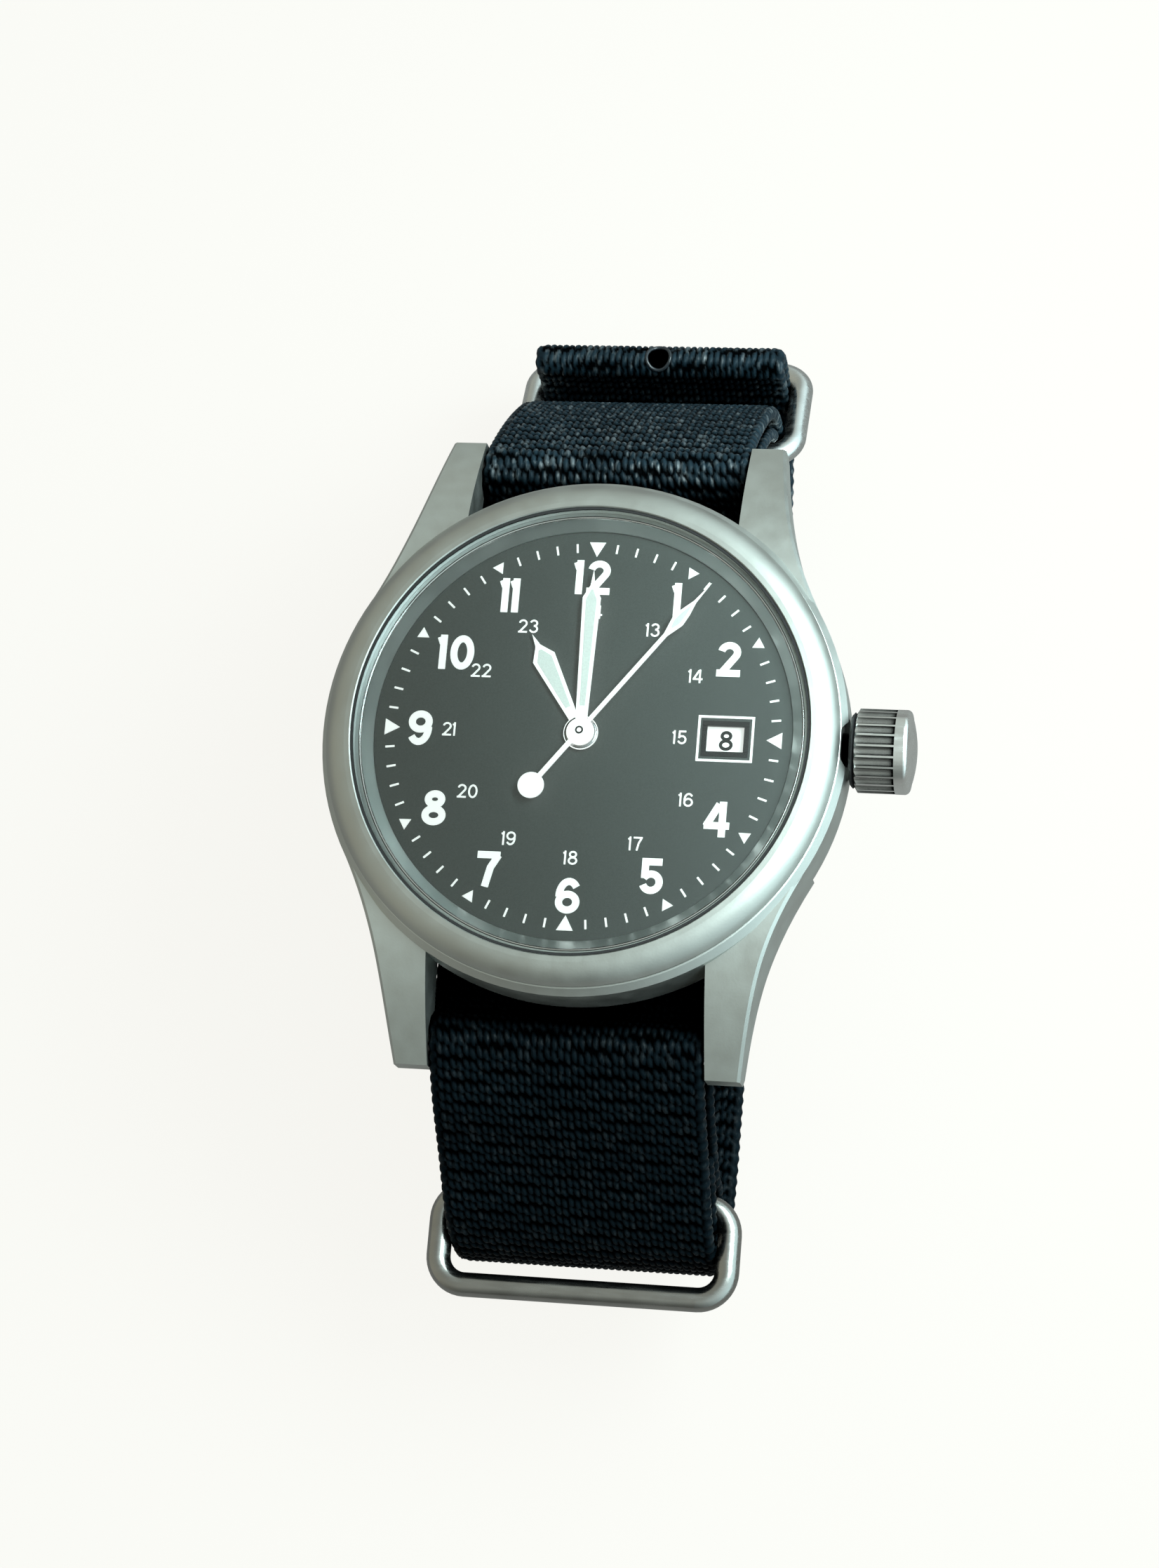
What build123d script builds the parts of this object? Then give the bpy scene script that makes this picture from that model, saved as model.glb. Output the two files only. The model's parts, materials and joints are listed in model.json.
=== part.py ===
"""A 38 mm hand-wound field watch on a 20 mm pass-through textile strap, in millimetres.

The origin lies on the axis of the hands, level with the outer face of the case back.
+Z points out of the dial, +Y to 12 o'clock and +X to 3 o'clock, where the crown is.
"""

from build123d import *
import math
import os

# Driving dimensions
CASE_R = 19.0
CASE_TOP_Z = 6.9
CASE_WALL_TOP_Z = 6.35
CASE_BORE_R = 15.8
LUG_GAP = 20.0
LUG_TIP_Y = 23.6
LUG_TIP_X = 12.5
LUG_CHAMFER = 0.22
BAR_Y = 21.6
BAR_Z = 0.95
BAR_R = 0.75
BEZEL_R = 18.5
BEZEL_TOP_Z = 8.4
CRYSTAL_R = 16.28
CRYSTAL_DOME = 0.85
CRYSTAL_UNDER_Z = 7.65
DIAL_R = 15.6
DIAL_TOP_Z = 6.7
DIAL_T = 0.4
DIAL_VISIBLE_R = 15.14
DIAL_FOOT_R = 0.35
DIAL_FOOT_REACH = 12.35
DIAL_FOOT_ANGLES = (135, 315)
DATE_RING_R = 11.9
DATE_RING_INNER_R = 8.75
DATE_COUNT = 31
DATE_X = 10.33
DATE_WINDOW = (2.75, 1.95)
STEM_Z = 4.9
CROWN_R = 3.0
CROWN_X = 19.45
CROWN_L = 4.3
CROWN_FLUTE_L = 2.9
CROWN_FLUTES = 24
CROWN_FLUTE_R = 0.34
CROWN_FLUTE_OUT = 0.1
MOVEMENT_R = 12.8
HOUR_HAND_Z = 6.95
MINUTE_HAND_Z = 7.2
SECONDS_HAND_Z = 7.46
HAND_T = 0.13
SECONDS_T = 0.1
HOUR_ANGLE = 30.0
MINUTE_ANGLE = 0.0
SECONDS_ANGLE = -37.5

# Heights inside the movement
PLATE_Z = 4.85
PLATE_T = 1.1
BRIDGE_Z = 2.1
BRIDGE_T = 0.6
KEEP_Z = 1.65
KEEP_T = 0.4
COLLAR_L = 1.45
COLLAR_R = 1.9
LEVER_X = 14.2
PIVOT_R = 0.12
JEWEL_HOLE_R = 0.15
JEWEL_R = 0.5
ARBOR_R = 0.25
RUN_GAP = 0.05

# Train: teeth and modules
CENTRE_TEETH, CENTRE_PINION, BARREL_TEETH = 80, 12, 78
THIRD_TEETH, THIRD_PINION = 75, 10
FOURTH_TEETH, FOURTH_PINION = 96, 10
ESCAPE_PINION, ESCAPE_TEETH = 8, 20
ESCAPE_PINION_MODULE = 0.078
CANNON_TEETH, MINUTE_TEETH, MINUTE_PINION, HOUR_TEETH = 12, 36, 10, 40
CROWN_TEETH, RATCHET_TEETH = 30, 46
BARREL_REACH = 6.6
TRAIN_REACH = 5.1
MOTION_REACH = 2.88
BALANCE_REACH = 8.2
BARREL_ANGLE, THIRD_ANGLE, ESCAPE_ANGLE = 70.0, 195.0, 255.0
BALANCE_ANGLE, MINUTE_WHEEL_ANGLE = 305.0, 100.0
BARREL_MODULE = 2 * BARREL_REACH / (BARREL_TEETH + CENTRE_PINION)
CENTRE_MODULE = 2 * TRAIN_REACH / (CENTRE_TEETH + THIRD_PINION)
THIRD_MODULE = 2 * TRAIN_REACH / (THIRD_TEETH + FOURTH_PINION)
FOURTH_MODULE = 0.0958
CANNON_MODULE = 2 * MOTION_REACH / (CANNON_TEETH + MINUTE_TEETH)
HOUR_MODULE = 2 * MOTION_REACH / (MINUTE_PINION + HOUR_TEETH)
WINDING_MODULE = 0.2

# Strap: section, rings and the line of the closed loop in the YZ plane
STRAP_W = 19.4
STRAP_T = 1.2
FLAP_T = 1.1
RING_WIRE_R = 0.9
RING_INNER_W = 19.8
BEND_Y = 25.6
BEND_Z = -13.0
SIDE_R = 6.0
TAIL_R = SIDE_R + 3.95
FOLD_R = 0.68
RETURN_R = TAIL_R + 2 * FOLD_R
FLOOR_Z = BEND_Z - SIDE_R
LEG_Z = FLOOR_Z - STRAP_T - 0.15
LEG_END_Y = 13.5
RETURN_END_Y = 15.5
BUCKLE_Y = 8.0
BUCKLE_WRAP_R = 1.45
BUCKLE_Z = FLOOR_Z - BUCKLE_WRAP_R
FRAME_Y = -2.0
FRAME_Z = -21.95
REST_Z = -20.0
REST_Y = (-25.0, -4.0)
FLAP_BAR_Y = -30.6
FLAP_BAR_Z = -11.5
FLAP_FRONT_Y = -37.5
WRAP_R = BAR_R + 0.05 + STRAP_T / 2
UNDER_Z = -0.1 - STRAP_T / 2
UNDER_R = 1.3
FLAP_UNDER_Z = UNDER_Z - STRAP_T / 2 - 0.1 - FLAP_T / 2
FLAP_END_HALF = 8.6
FLAP_WRAP_R = RING_WIRE_R + RUN_GAP + FLAP_T / 2
HOLE_R = 0.95
KEEPER_INNER = 4.0
KEEPER_L = 9.3
KEEPER_UPPER_ANGLE = -25.0
KEEPER_LOWER_Y = 20.0
RING_HALF = RING_INNER_W / 2 + RING_WIRE_R
RING_CORNER = 2.1
BUCKLE_BAR_R = 0.78
EYE_R = 1.35
EYE_HALF = 0.95
TANG_W = 1.6
TANG_SLOT = (2.4, 4.4, 4.5)
TANG_HOLE = (2.0, 6.6, 3.4)
TANG_HOLE_AT = (0, 2.9, -22.2)
TAIL_HOLE_Y = 18.0
TANG_EYE_R = 1.4
BAR_FIT = 0.02
PIN_R = 0.4
PIN_END = 0.95

os.makedirs("parts", exist_ok=True)


def polar(reach, degrees):
    """Point at a distance and an angle counter-clockwise from +X."""
    return (reach * math.cos(math.radians(degrees)), reach * math.sin(math.radians(degrees)))


def gear_points(teeth, module, turn=0.0, addendum=0.85, dedendum=1.25):
    """Outline of a straight-flanked gear that has one tooth centred on the angle turn."""
    pitch = 360 / teeth
    root = module * (teeth / 2 - dedendum)
    tip = module * (teeth / 2 + addendum)
    points = []
    for tooth in range(teeth):
        middle = turn + tooth * pitch
        for radius, share in ((root, -0.22), (tip, -0.08), (tip, 0.08), (root, 0.22)):
            points.append(polar(radius, middle + share * pitch))
    return points


def meshed_turn(driver_teeth, driver_turn, teeth, direction):
    """Turn of a gear that meshes with a driver, seen from the driver's centre."""
    return direction + 180 - driver_teeth / teeth * (driver_turn - direction) + 180 / teeth


def disc(radius, low, high, centre=(0, 0), mode=Mode.ADD):
    """Upright cylinder between two heights in the open part."""
    with BuildSketch(Plane.XY.offset(low)) as face:
        with Locations(centre):
            Circle(radius)
    extrude(face.sketch, amount=high - low, mode=mode)


def gear(points, low, high, centre=(0, 0)):
    """Toothed disc between two heights in the open part."""
    with BuildSketch(Plane.XY.offset(low)) as face:
        with BuildLine():
            Polyline(*[(x + centre[0], y + centre[1]) for x, y in points], close=True)
        make_face()
    extrude(face.sketch, amount=high - low)


def turned_ring(points):
    """Turned solid in the open part, from the corner points of its section."""
    with BuildSketch(Plane.XZ) as section:
        with BuildLine():
            Polyline(*points, close=True)
        make_face()
    revolve(section.sketch, axis=Axis.Z)


def save(piece, name):
    """Label a finished piece and write its file."""
    piece.part.label = name
    export_step(piece.part, f"parts/{name}.step")


BARREL_AT = polar(BARREL_REACH, BARREL_ANGLE)
THIRD_AT = polar(TRAIN_REACH, THIRD_ANGLE)
ESCAPE_AT = polar(TRAIN_REACH, ESCAPE_ANGLE)
BALANCE_AT = polar(BALANCE_REACH, BALANCE_ANGLE)
MINUTE_AT = polar(MOTION_REACH, MINUTE_WHEEL_ANGLE)
FORK_ANGLE = math.degrees(math.atan2(BALANCE_AT[1] - ESCAPE_AT[1], BALANCE_AT[0] - ESCAPE_AT[0]))
PALLET_STEP = polar(2.6, FORK_ANGLE)
PALLET_AT = (ESCAPE_AT[0] + PALLET_STEP[0], ESCAPE_AT[1] + PALLET_STEP[1])
FORK_REACH = math.hypot(BALANCE_AT[0] - PALLET_AT[0], BALANCE_AT[1] - PALLET_AT[1])
WINDING_REACH = WINDING_MODULE * (CROWN_TEETH + RATCHET_TEETH) / 2
CROWN_WHEEL_AT = (BARREL_AT[0] + math.sqrt(WINDING_REACH**2 - BARREL_AT[1] ** 2), 0)
PLATE_TOP_Z = PLATE_Z + PLATE_T
BRIDGE_TOP_Z = BRIDGE_Z + BRIDGE_T
TRAIN_PIVOTS = (THIRD_AT, ESCAPE_AT)
BARREL_PILLARS = (polar(11.4, 30), polar(11.4, 112))
TRAIN_PILLARS = (polar(11.4, 160), polar(11.4, 245))
COCK_PILLAR = polar(11.6, 275)
PALLET_PILLAR = (0.6, -9.4)
PILLAR_R = 0.9
SCREW_R = 0.35

# ---------------------------------------------------------------- case


def build_mid_case():
    """Round case middle with four curved lugs, the bar holes and the stem hole."""
    with BuildPart() as case:
        with BuildSketch(Plane.XY.offset(-1)):
            with BuildLine():
                Line((LUG_GAP / 2, 6), (LUG_GAP / 2, LUG_TIP_Y))
                Line((LUG_GAP / 2, LUG_TIP_Y), (LUG_TIP_X, LUG_TIP_Y))
                edge = Spline((LUG_TIP_X, LUG_TIP_Y), (14.0, 15.5), (16.75, 8.95),
                              tangents=[(0.15, -0.99), (0.479, -0.878)])
                Line(edge @ 1, (14.5, 6))
                Line((14.5, 6), (LUG_GAP / 2, 6))
            make_face()
            mirror(about=Plane.YZ)
            mirror(about=Plane.XZ)
        extrude(amount=9)
        with BuildSketch(Plane.YZ):
            with BuildLine():
                Line((0, 1.6), (16.0, 1.6))
                ThreePointArc((16.0, 1.6), (20.2, 0.9), (LUG_TIP_Y - 0.5, -0.25))
                Line((LUG_TIP_Y - 0.5, -0.25), (LUG_TIP_Y, 0.1))
                Line((LUG_TIP_Y, 0.1), (LUG_TIP_Y, 1.9))
                Spline((LUG_TIP_Y, 1.9), (19.0, 4.65), (14.5, 6.2), (9.5, 6.5),
                       tangents=[(-0.83, 0.56), (-1, 0.02)])
                Line((9.5, 6.5), (0, 6.5))
                Line((0, 6.5), (0, 1.6))
            make_face()
            mirror(about=Plane.YZ)
        extrude(amount=20, both=True, mode=Mode.INTERSECT)
        lug_tops = case.edges().filter_by(lambda e: abs(e.center().Y) > 14
                                          and abs(e.center().X) > 12.0
                                          and e.center().Z > 2.5
                                          and e.length > 8)
        chamfer(lug_tops, LUG_CHAMFER)
        with BuildSketch(Plane.XZ):
            with BuildLine():
                Polyline((15.0, 0.95), (17.5, 0.95), (18.6, 1.6), (CASE_R, 2.6),
                         (CASE_R, CASE_WALL_TOP_Z), (18.55, CASE_TOP_Z - 0.06),
                         (18.3, CASE_TOP_Z), (15.0, CASE_TOP_Z), close=True)
            make_face()
        revolve(axis=Axis.Z)
        disc(CASE_BORE_R, -2, 9, mode=Mode.SUBTRACT)
        disc(16.9, 0, 1.5, mode=Mode.SUBTRACT)
        with BuildSketch(Plane.YZ.offset(CASE_R + 1)):
            with Locations((0, STEM_Z)):
                Circle(1.25)
        extrude(amount=-6, mode=Mode.SUBTRACT)
        with BuildSketch(Plane.YZ.offset(CASE_R + 1)):
            with Locations((0, STEM_Z)):
                Circle(2.2)
        extrude(amount=-1.5, mode=Mode.SUBTRACT)
        with BuildSketch(Plane.YZ.offset(-LUG_GAP / 2 - 1.1)):
            with Locations((BAR_Y, BAR_Z), (-BAR_Y, BAR_Z)):
                Circle(0.45)
        extrude(amount=LUG_GAP + 2.2, mode=Mode.SUBTRACT)
    return case


def build_bezel():
    """Sloped ring that holds the crystal."""
    seat_r = CRYSTAL_R + 0.22
    low = CASE_TOP_Z + 0.05
    with BuildPart() as bezel:
        with BuildSketch(Plane.XZ):
            with BuildLine():
                Line((seat_r, low), (18.25, low))
                Line((18.25, low), (BEZEL_R, 7.12))
                Line((BEZEL_R, 7.12), (BEZEL_R, 7.35))
                ThreePointArc((BEZEL_R, 7.35), (17.9, 8.02), (16.95, BEZEL_TOP_Z))
                Line((16.95, BEZEL_TOP_Z), (CRYSTAL_R + 0.3, BEZEL_TOP_Z + 0.04))
                Line((CRYSTAL_R + 0.3, BEZEL_TOP_Z + 0.04), (seat_r, BEZEL_TOP_Z - 0.04))
                Line((seat_r, BEZEL_TOP_Z - 0.04), (seat_r, low))
            make_face()
        revolve(axis=Axis.Z)
    return bezel


def build_crystal():
    """Domed glass with a matching hollow underside."""
    edge_z = BEZEL_TOP_Z + 0.05
    with BuildPart() as crystal:
        with BuildSketch(Plane.XZ):
            with BuildLine():
                Line((0, CRYSTAL_UNDER_Z + CRYSTAL_DOME), (0, edge_z + CRYSTAL_DOME))
                TangentArc((0, edge_z + CRYSTAL_DOME), (CRYSTAL_R - 0.15, edge_z + 0.02),
                           tangent=(1, 0))
                Line((CRYSTAL_R - 0.15, edge_z + 0.02), (CRYSTAL_R, edge_z - 0.15))
                Line((CRYSTAL_R, edge_z - 0.15), (CRYSTAL_R, CRYSTAL_UNDER_Z))
                Line((CRYSTAL_R, CRYSTAL_UNDER_Z), (15.7, CRYSTAL_UNDER_Z))
                TangentArc((0, CRYSTAL_UNDER_Z + CRYSTAL_DOME), (15.7, CRYSTAL_UNDER_Z),
                           tangent=(1, 0))
            make_face()
        revolve(axis=Axis.Z)
    return crystal


def build_crystal_gasket():
    """Thin sealing ring round the glass."""
    inner, outer = CRYSTAL_R + 0.03, CRYSTAL_R + 0.19
    with BuildPart() as gasket:
        turned_ring([(inner, CRYSTAL_UNDER_Z), (outer, CRYSTAL_UNDER_Z),
                      (outer, BEZEL_TOP_Z - 0.05), (inner, BEZEL_TOP_Z - 0.05)])
    return gasket


def build_rehaut():
    """Sloped ring between the dial and the glass."""
    low = DIAL_TOP_Z + 0.02
    with BuildPart() as rehaut:
        turned_ring([(DIAL_VISIBLE_R, low), (CASE_BORE_R - 0.06, low),
                      (CASE_BORE_R - 0.06, CASE_TOP_Z + 0.05), (16.42, CASE_TOP_Z + 0.05),
                      (16.42, CRYSTAL_UNDER_Z - 0.03), (15.9, CRYSTAL_UNDER_Z - 0.03),
                      (DIAL_VISIBLE_R, low + 0.12)])
    return rehaut


def build_dial():
    """Dial plate with its date window, centre hole and two feet."""
    with BuildPart() as dial:
        with BuildSketch(Plane.XY.offset(DIAL_TOP_Z - DIAL_T)):
            Circle(DIAL_R)
            Circle(1.1, mode=Mode.SUBTRACT)
            with Locations((DATE_X, 0)):
                Rectangle(*DATE_WINDOW, mode=Mode.SUBTRACT)
        extrude(amount=DIAL_T)
        for angle in DIAL_FOOT_ANGLES:
            disc(DIAL_FOOT_R, PLATE_TOP_Z - 0.75, DIAL_TOP_Z - DIAL_T, centre=polar(DIAL_FOOT_REACH, angle))
    return dial


def build_date_ring():
    """Ring that carries the dates under the dial, with inner teeth."""
    with BuildPart() as date_ring:
        with BuildSketch(Plane.XY.offset(PLATE_TOP_Z + 0.08)):
            Circle(DATE_RING_R)
            Circle(DATE_RING_INNER_R, mode=Mode.SUBTRACT)
            with PolarLocations(DATE_RING_INNER_R, DATE_COUNT):
                Rectangle(0.5, 0.55)
        extrude(amount=0.15)
    return date_ring


def build_caseback():
    """Round back with a recess ring that enters the case and six opening slots."""
    with BuildPart() as back:
        turned_ring([(0, 0), (16.2, 0), (16.75, 0.35), (16.75, 1.35), (15.7, 1.35),
                      (15.7, 2.3), (14.8, 2.3), (14.8, 1.2), (0, 1.2)])
        with BuildSketch(Plane.XY):
            with PolarLocations(15.9, 6):
                Rectangle(1.0, 2.4)
        extrude(amount=0.5, mode=Mode.SUBTRACT)
    return back


def build_caseback_gasket():
    """Flat seal between the back and the case."""
    with BuildPart() as gasket:
        turned_ring([(15.85, 1.38), (16.7, 1.38), (16.7, 1.47), (15.85, 1.47)])
    return gasket


def build_movement_ring():
    """Holder between the movement and the case, open where the stem passes."""
    with BuildPart() as holder:
        turned_ring([(MOVEMENT_R + 0.05, 4.1), (CASE_BORE_R - 0.06, 4.1),
                      (CASE_BORE_R - 0.06, 6.2), (MOVEMENT_R + 0.05, 6.2)])
        with BuildSketch(Plane.YZ):
            with Locations((0, STEM_Z)):
                Rectangle(4.2, 2.4)
        extrude(amount=20, mode=Mode.SUBTRACT)
    return holder


def build_case_tube():
    """Tube in the case wall that guides the stem and carries the crown's seal."""
    with BuildPart() as tube:
        with BuildSketch(Plane.YZ.offset(15.9)):
            with Locations((0, STEM_Z)):
                Circle(1.22)
                Circle(0.65, mode=Mode.SUBTRACT)
        extrude(amount=4.6)
    return tube


# ---------------------------------------------------------------- crown


def build_crown():
    """Fluted crown with a domed end and a hollow that runs over the tube."""
    flute_end = CROWN_X + CROWN_FLUTE_L
    tip = CROWN_X + CROWN_L
    with BuildPart() as crown:
        with BuildSketch(Plane.XZ):
            with BuildLine():
                Line((CROWN_X, STEM_Z), (CROWN_X, STEM_Z + 2.6))
                Line((CROWN_X, STEM_Z + 2.6), (CROWN_X + 0.25, STEM_Z + CROWN_R))
                Line((CROWN_X + 0.25, STEM_Z + CROWN_R), (tip - 0.75, STEM_Z + CROWN_R))
                ThreePointArc((tip - 0.75, STEM_Z + CROWN_R), (tip - 0.5, STEM_Z + CROWN_R - 0.12),
                              (tip - 0.4, STEM_Z + CROWN_R - 0.42))
                TangentArc((tip, STEM_Z), (tip - 0.4, STEM_Z + CROWN_R - 0.42), tangent=(0, 1))
                Line((tip, STEM_Z), (CROWN_X, STEM_Z))
            make_face()
        stem_axis = Axis((0, 0, STEM_Z), (1, 0, 0))
        revolve(axis=stem_axis)
        with BuildSketch(Plane.YZ.offset(CROWN_X - 0.1)):
            with Locations((0, STEM_Z)):
                with PolarLocations(CROWN_R + CROWN_FLUTE_OUT, CROWN_FLUTES):
                    Circle(CROWN_FLUTE_R)
        extrude(amount=flute_end - CROWN_X + 0.1, mode=Mode.SUBTRACT)
        with BuildSketch(Plane.YZ.offset(CROWN_X - 0.1)):
            with Locations((0, STEM_Z)):
                Circle(1.9)
        extrude(amount=2.6, mode=Mode.SUBTRACT)
    return crown


def build_crown_gasket():
    """Seal inside the crown that runs on the tube."""
    with BuildPart() as gasket:
        with BuildSketch(Plane.YZ.offset(CROWN_X + 0.1)):
            with Locations((0, STEM_Z)):
                Circle(1.88)
                Circle(1.27, mode=Mode.SUBTRACT)
        extrude(amount=0.7)
    return gasket


def build_stem():
    """Winding stem: a stepped shaft with a groove for the setting lever."""
    steps = ((6.0, 7.4, 0.3), (7.4, 12.6, 0.45), (12.6, 14.7, 0.28), (14.7, CROWN_X + 2.48, 0.6))
    with BuildPart() as stem:
        for start, end, radius in steps:
            with BuildSketch(Plane.YZ.offset(start)):
                with Locations((0, STEM_Z)):
                    Circle(radius)
            extrude(amount=end - start)
    return stem


def stem_gear(start, length, teeth, module, bore):
    """Toothed sleeve on the stem's axis in the open part."""
    points = [(y, z + STEM_Z) for y, z in gear_points(teeth, module, 90)]
    with BuildSketch(Plane.YZ.offset(start)) as face:
        with BuildLine():
            Polyline(*points, close=True)
        make_face()
        with Locations((0, STEM_Z)):
            Circle(bore, mode=Mode.SUBTRACT)
    extrude(face.sketch, amount=length)


def build_winding_pinion():
    """Pinion that drives the crown wheel."""
    with BuildPart() as pinion:
        stem_gear(8.1, 1.2, 14, 0.14, 0.5)
    return pinion


def build_sliding_pinion():
    """Clutch sleeve beside the winding pinion."""
    with BuildPart() as sleeve:
        stem_gear(9.4, 0.5, 14, 0.14, 0.5)
        with BuildSketch(Plane.YZ.offset(9.9)):
            with Locations((0, STEM_Z)):
                Circle(0.75)
                Circle(0.5, mode=Mode.SUBTRACT)
        extrude(amount=1.2)
    return sleeve


# ---------------------------------------------------------------- movement


def build_mainplate():
    """Base plate with train bores, pockets for the motion works and the stem's slot."""
    with BuildPart() as plate:
        disc(MOVEMENT_R, PLATE_Z, PLATE_TOP_Z)
        disc(0.55, 4, 7, mode=Mode.SUBTRACT)
        disc(1.2, 5.4, 7, mode=Mode.SUBTRACT)
        disc(2.45, 5.4, 7, centre=MINUTE_AT, mode=Mode.SUBTRACT)
        disc(0.2, 4, 7, centre=MINUTE_AT, mode=Mode.SUBTRACT)
        for at in (THIRD_AT, ESCAPE_AT, PALLET_AT, BALANCE_AT):
            disc(JEWEL_R + 0.01, PLATE_Z - 0.1, PLATE_Z + 0.45, centre=at, mode=Mode.SUBTRACT)
        disc(0.85, 4, 5.35, centre=BARREL_AT, mode=Mode.SUBTRACT)
        for angle in (135, 315):
            disc(0.4, 4, 7, centre=polar(12.35, angle), mode=Mode.SUBTRACT)
        for at in (*BARREL_PILLARS, *TRAIN_PILLARS, COCK_PILLAR, PALLET_PILLAR):
            disc(SCREW_R + 0.02, 4, 5.6, centre=at, mode=Mode.SUBTRACT)
        with BuildSketch(Plane.XY.offset(PLATE_Z - 0.1)):
            with Locations((9.6, 0)):
                Rectangle(3.4, 3.2)
            with Locations((10.5, 0)):
                Rectangle(6, 1.3)
            with Locations((6.4, 0)):
                Rectangle(2.6, 0.8)
        extrude(amount=PLATE_T + 0.2, mode=Mode.SUBTRACT)
    return plate


def bridge_holes(points, radius):
    """Through holes in the open bridge."""
    for at in points:
        disc(radius, BRIDGE_Z - 0.1, PLATE_Z + 0.1, centre=at, mode=Mode.SUBTRACT)


def bridge(outline, pillars, cut_radius=MOVEMENT_R - 0.15):
    """Bridge plate from hull points, trimmed to the movement's circle, on its pillars."""
    with BuildSketch(Plane.XY.offset(BRIDGE_Z)) as face:
        with BuildLine():
            Polyline(*outline, close=True)
        make_face()
        Circle(cut_radius, mode=Mode.INTERSECT)
    extrude(face.sketch, amount=BRIDGE_T)
    for at in pillars:
        disc(PILLAR_R, BRIDGE_Z, PLATE_Z, centre=at)
        disc(SCREW_R + 0.02, BRIDGE_Z - 0.1, PLATE_Z + 0.1, centre=at, mode=Mode.SUBTRACT)


def build_barrel_bridge():
    """Bridge over the barrel, open for the crown wheel."""
    with BuildPart() as piece:
        bridge([(-7.0, 1.6), (3.6, 1.6), (3.6, -2.8), (13.5, -2.8), (13.5, 13.5), (-7.0, 13.5)],
               BARREL_PILLARS)
        bridge_holes([BARREL_AT], 0.85)
        bridge_holes([CROWN_WHEEL_AT], COLLAR_R + RUN_GAP)
    return piece


def build_train_bridge():
    """Bridge over the third, fourth and escape wheels."""
    with BuildPart() as piece:
        bridge([(-7.2, 1.3), (1.4, 1.3), (1.4, -2.0), (0.3, -6.0), (-1.6, -13.0),
                (-13.5, -13.5), (-13.5, 6.5), (-7.2, 6.5)], TRAIN_PILLARS)
        for at in (*TRAIN_PIVOTS, (0, 0)):
            disc(JEWEL_R + 0.01, BRIDGE_TOP_Z - 0.45, BRIDGE_TOP_Z + 0.1, centre=at,
                 mode=Mode.SUBTRACT)
    return piece


def build_balance_cock():
    """Cock that reaches from its single foot over the balance."""
    foot = COCK_PILLAR
    with BuildPart() as piece:
        bridge([(-0.6, -13.0), (-0.4, -10.4), (3.6, -5.6), (5.4, -5.6), (5.9, -7.4), (3.0, -13.0)],
               (foot,))
        disc(JEWEL_R + 0.01, BRIDGE_TOP_Z - 0.45, BRIDGE_TOP_Z + 0.1, centre=BALANCE_AT,
             mode=Mode.SUBTRACT)
    return piece


def build_pallet_bridge():
    """Small bridge that holds the pallet fork's lower pivot."""
    with BuildPart() as piece:
        with BuildSketch(Plane.XY.offset(3.6)):
            with BuildLine():
                Line(PALLET_AT, PALLET_PILLAR)
            trace(line_width=1.0)
            with Locations(PALLET_AT, PALLET_PILLAR):
                Circle(0.6)
        extrude(amount=0.2)
        disc(0.6, 3.6, PLATE_Z, centre=PALLET_PILLAR)
        disc(JEWEL_HOLE_R, 3.5, 3.9, centre=PALLET_AT, mode=Mode.SUBTRACT)
        disc(SCREW_R + 0.02, 3.5, PLATE_Z + 0.1, centre=PALLET_PILLAR, mode=Mode.SUBTRACT)
    return piece


def arbor(at, low=BRIDGE_TOP_Z + 0.05, high=PLATE_Z - 0.05):
    """Arbor with a fine pivot at each end."""
    disc(ARBOR_R, low, high, centre=at)
    disc(PIVOT_R, low - 0.35, high + 0.35, centre=at)


def spoked(centre, rim_r, hub_r, low, high, spokes=5):
    """Cut the open wheel between its hub and rim, leaving spokes."""
    with BuildSketch(Plane.XY.offset(low - 0.02)) as openings:
        with Locations(centre):
            Circle(rim_r)
            Circle(hub_r, mode=Mode.SUBTRACT)
            with PolarLocations((rim_r + hub_r) / 2, spokes):
                Rectangle(rim_r - hub_r + 0.8, 0.35, mode=Mode.SUBTRACT)
    extrude(openings.sketch, amount=high - low + 0.04, mode=Mode.SUBTRACT)


def build_barrel():
    """Toothed drum that holds the mainspring."""
    turn = meshed_turn(CENTRE_PINION, 0, BARREL_TEETH, BARREL_ANGLE)
    with BuildPart() as barrel:
        disc(5.15, 3.15, 4.15, centre=BARREL_AT)
        gear(gear_points(BARREL_TEETH, BARREL_MODULE, turn), 3.85, 4.15, centre=BARREL_AT)
        disc(4.9, 3.3, 4.0, centre=BARREL_AT, mode=Mode.SUBTRACT)
        disc(0.85, 3.0, 4.3, centre=BARREL_AT, mode=Mode.SUBTRACT)
    return barrel


def build_barrel_arbor():
    """Core of the barrel, square below for the ratchet wheel."""
    with BuildPart() as core:
        disc(0.8, 2.08, 5.3, centre=BARREL_AT)
        disc(1.3, 3.35, 3.95, centre=BARREL_AT)
        with BuildSketch(Plane.XY.offset(KEEP_Z)):
            with Locations(BARREL_AT):
                Rectangle(1.0, 1.0)
        extrude(amount=2.08 - KEEP_Z)
    return core


def build_mainspring():
    """Coiled spring, simplified to its wound pack of four turns."""
    with BuildPart() as spring:
        for radius in (4.75, 4.35, 3.95, 3.55):
            with BuildSketch(Plane.XY.offset(3.38)):
                with Locations(BARREL_AT):
                    Circle(radius)
                    Circle(radius - 0.42, mode=Mode.SUBTRACT)
            extrude(amount=0.54)
    return spring


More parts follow.
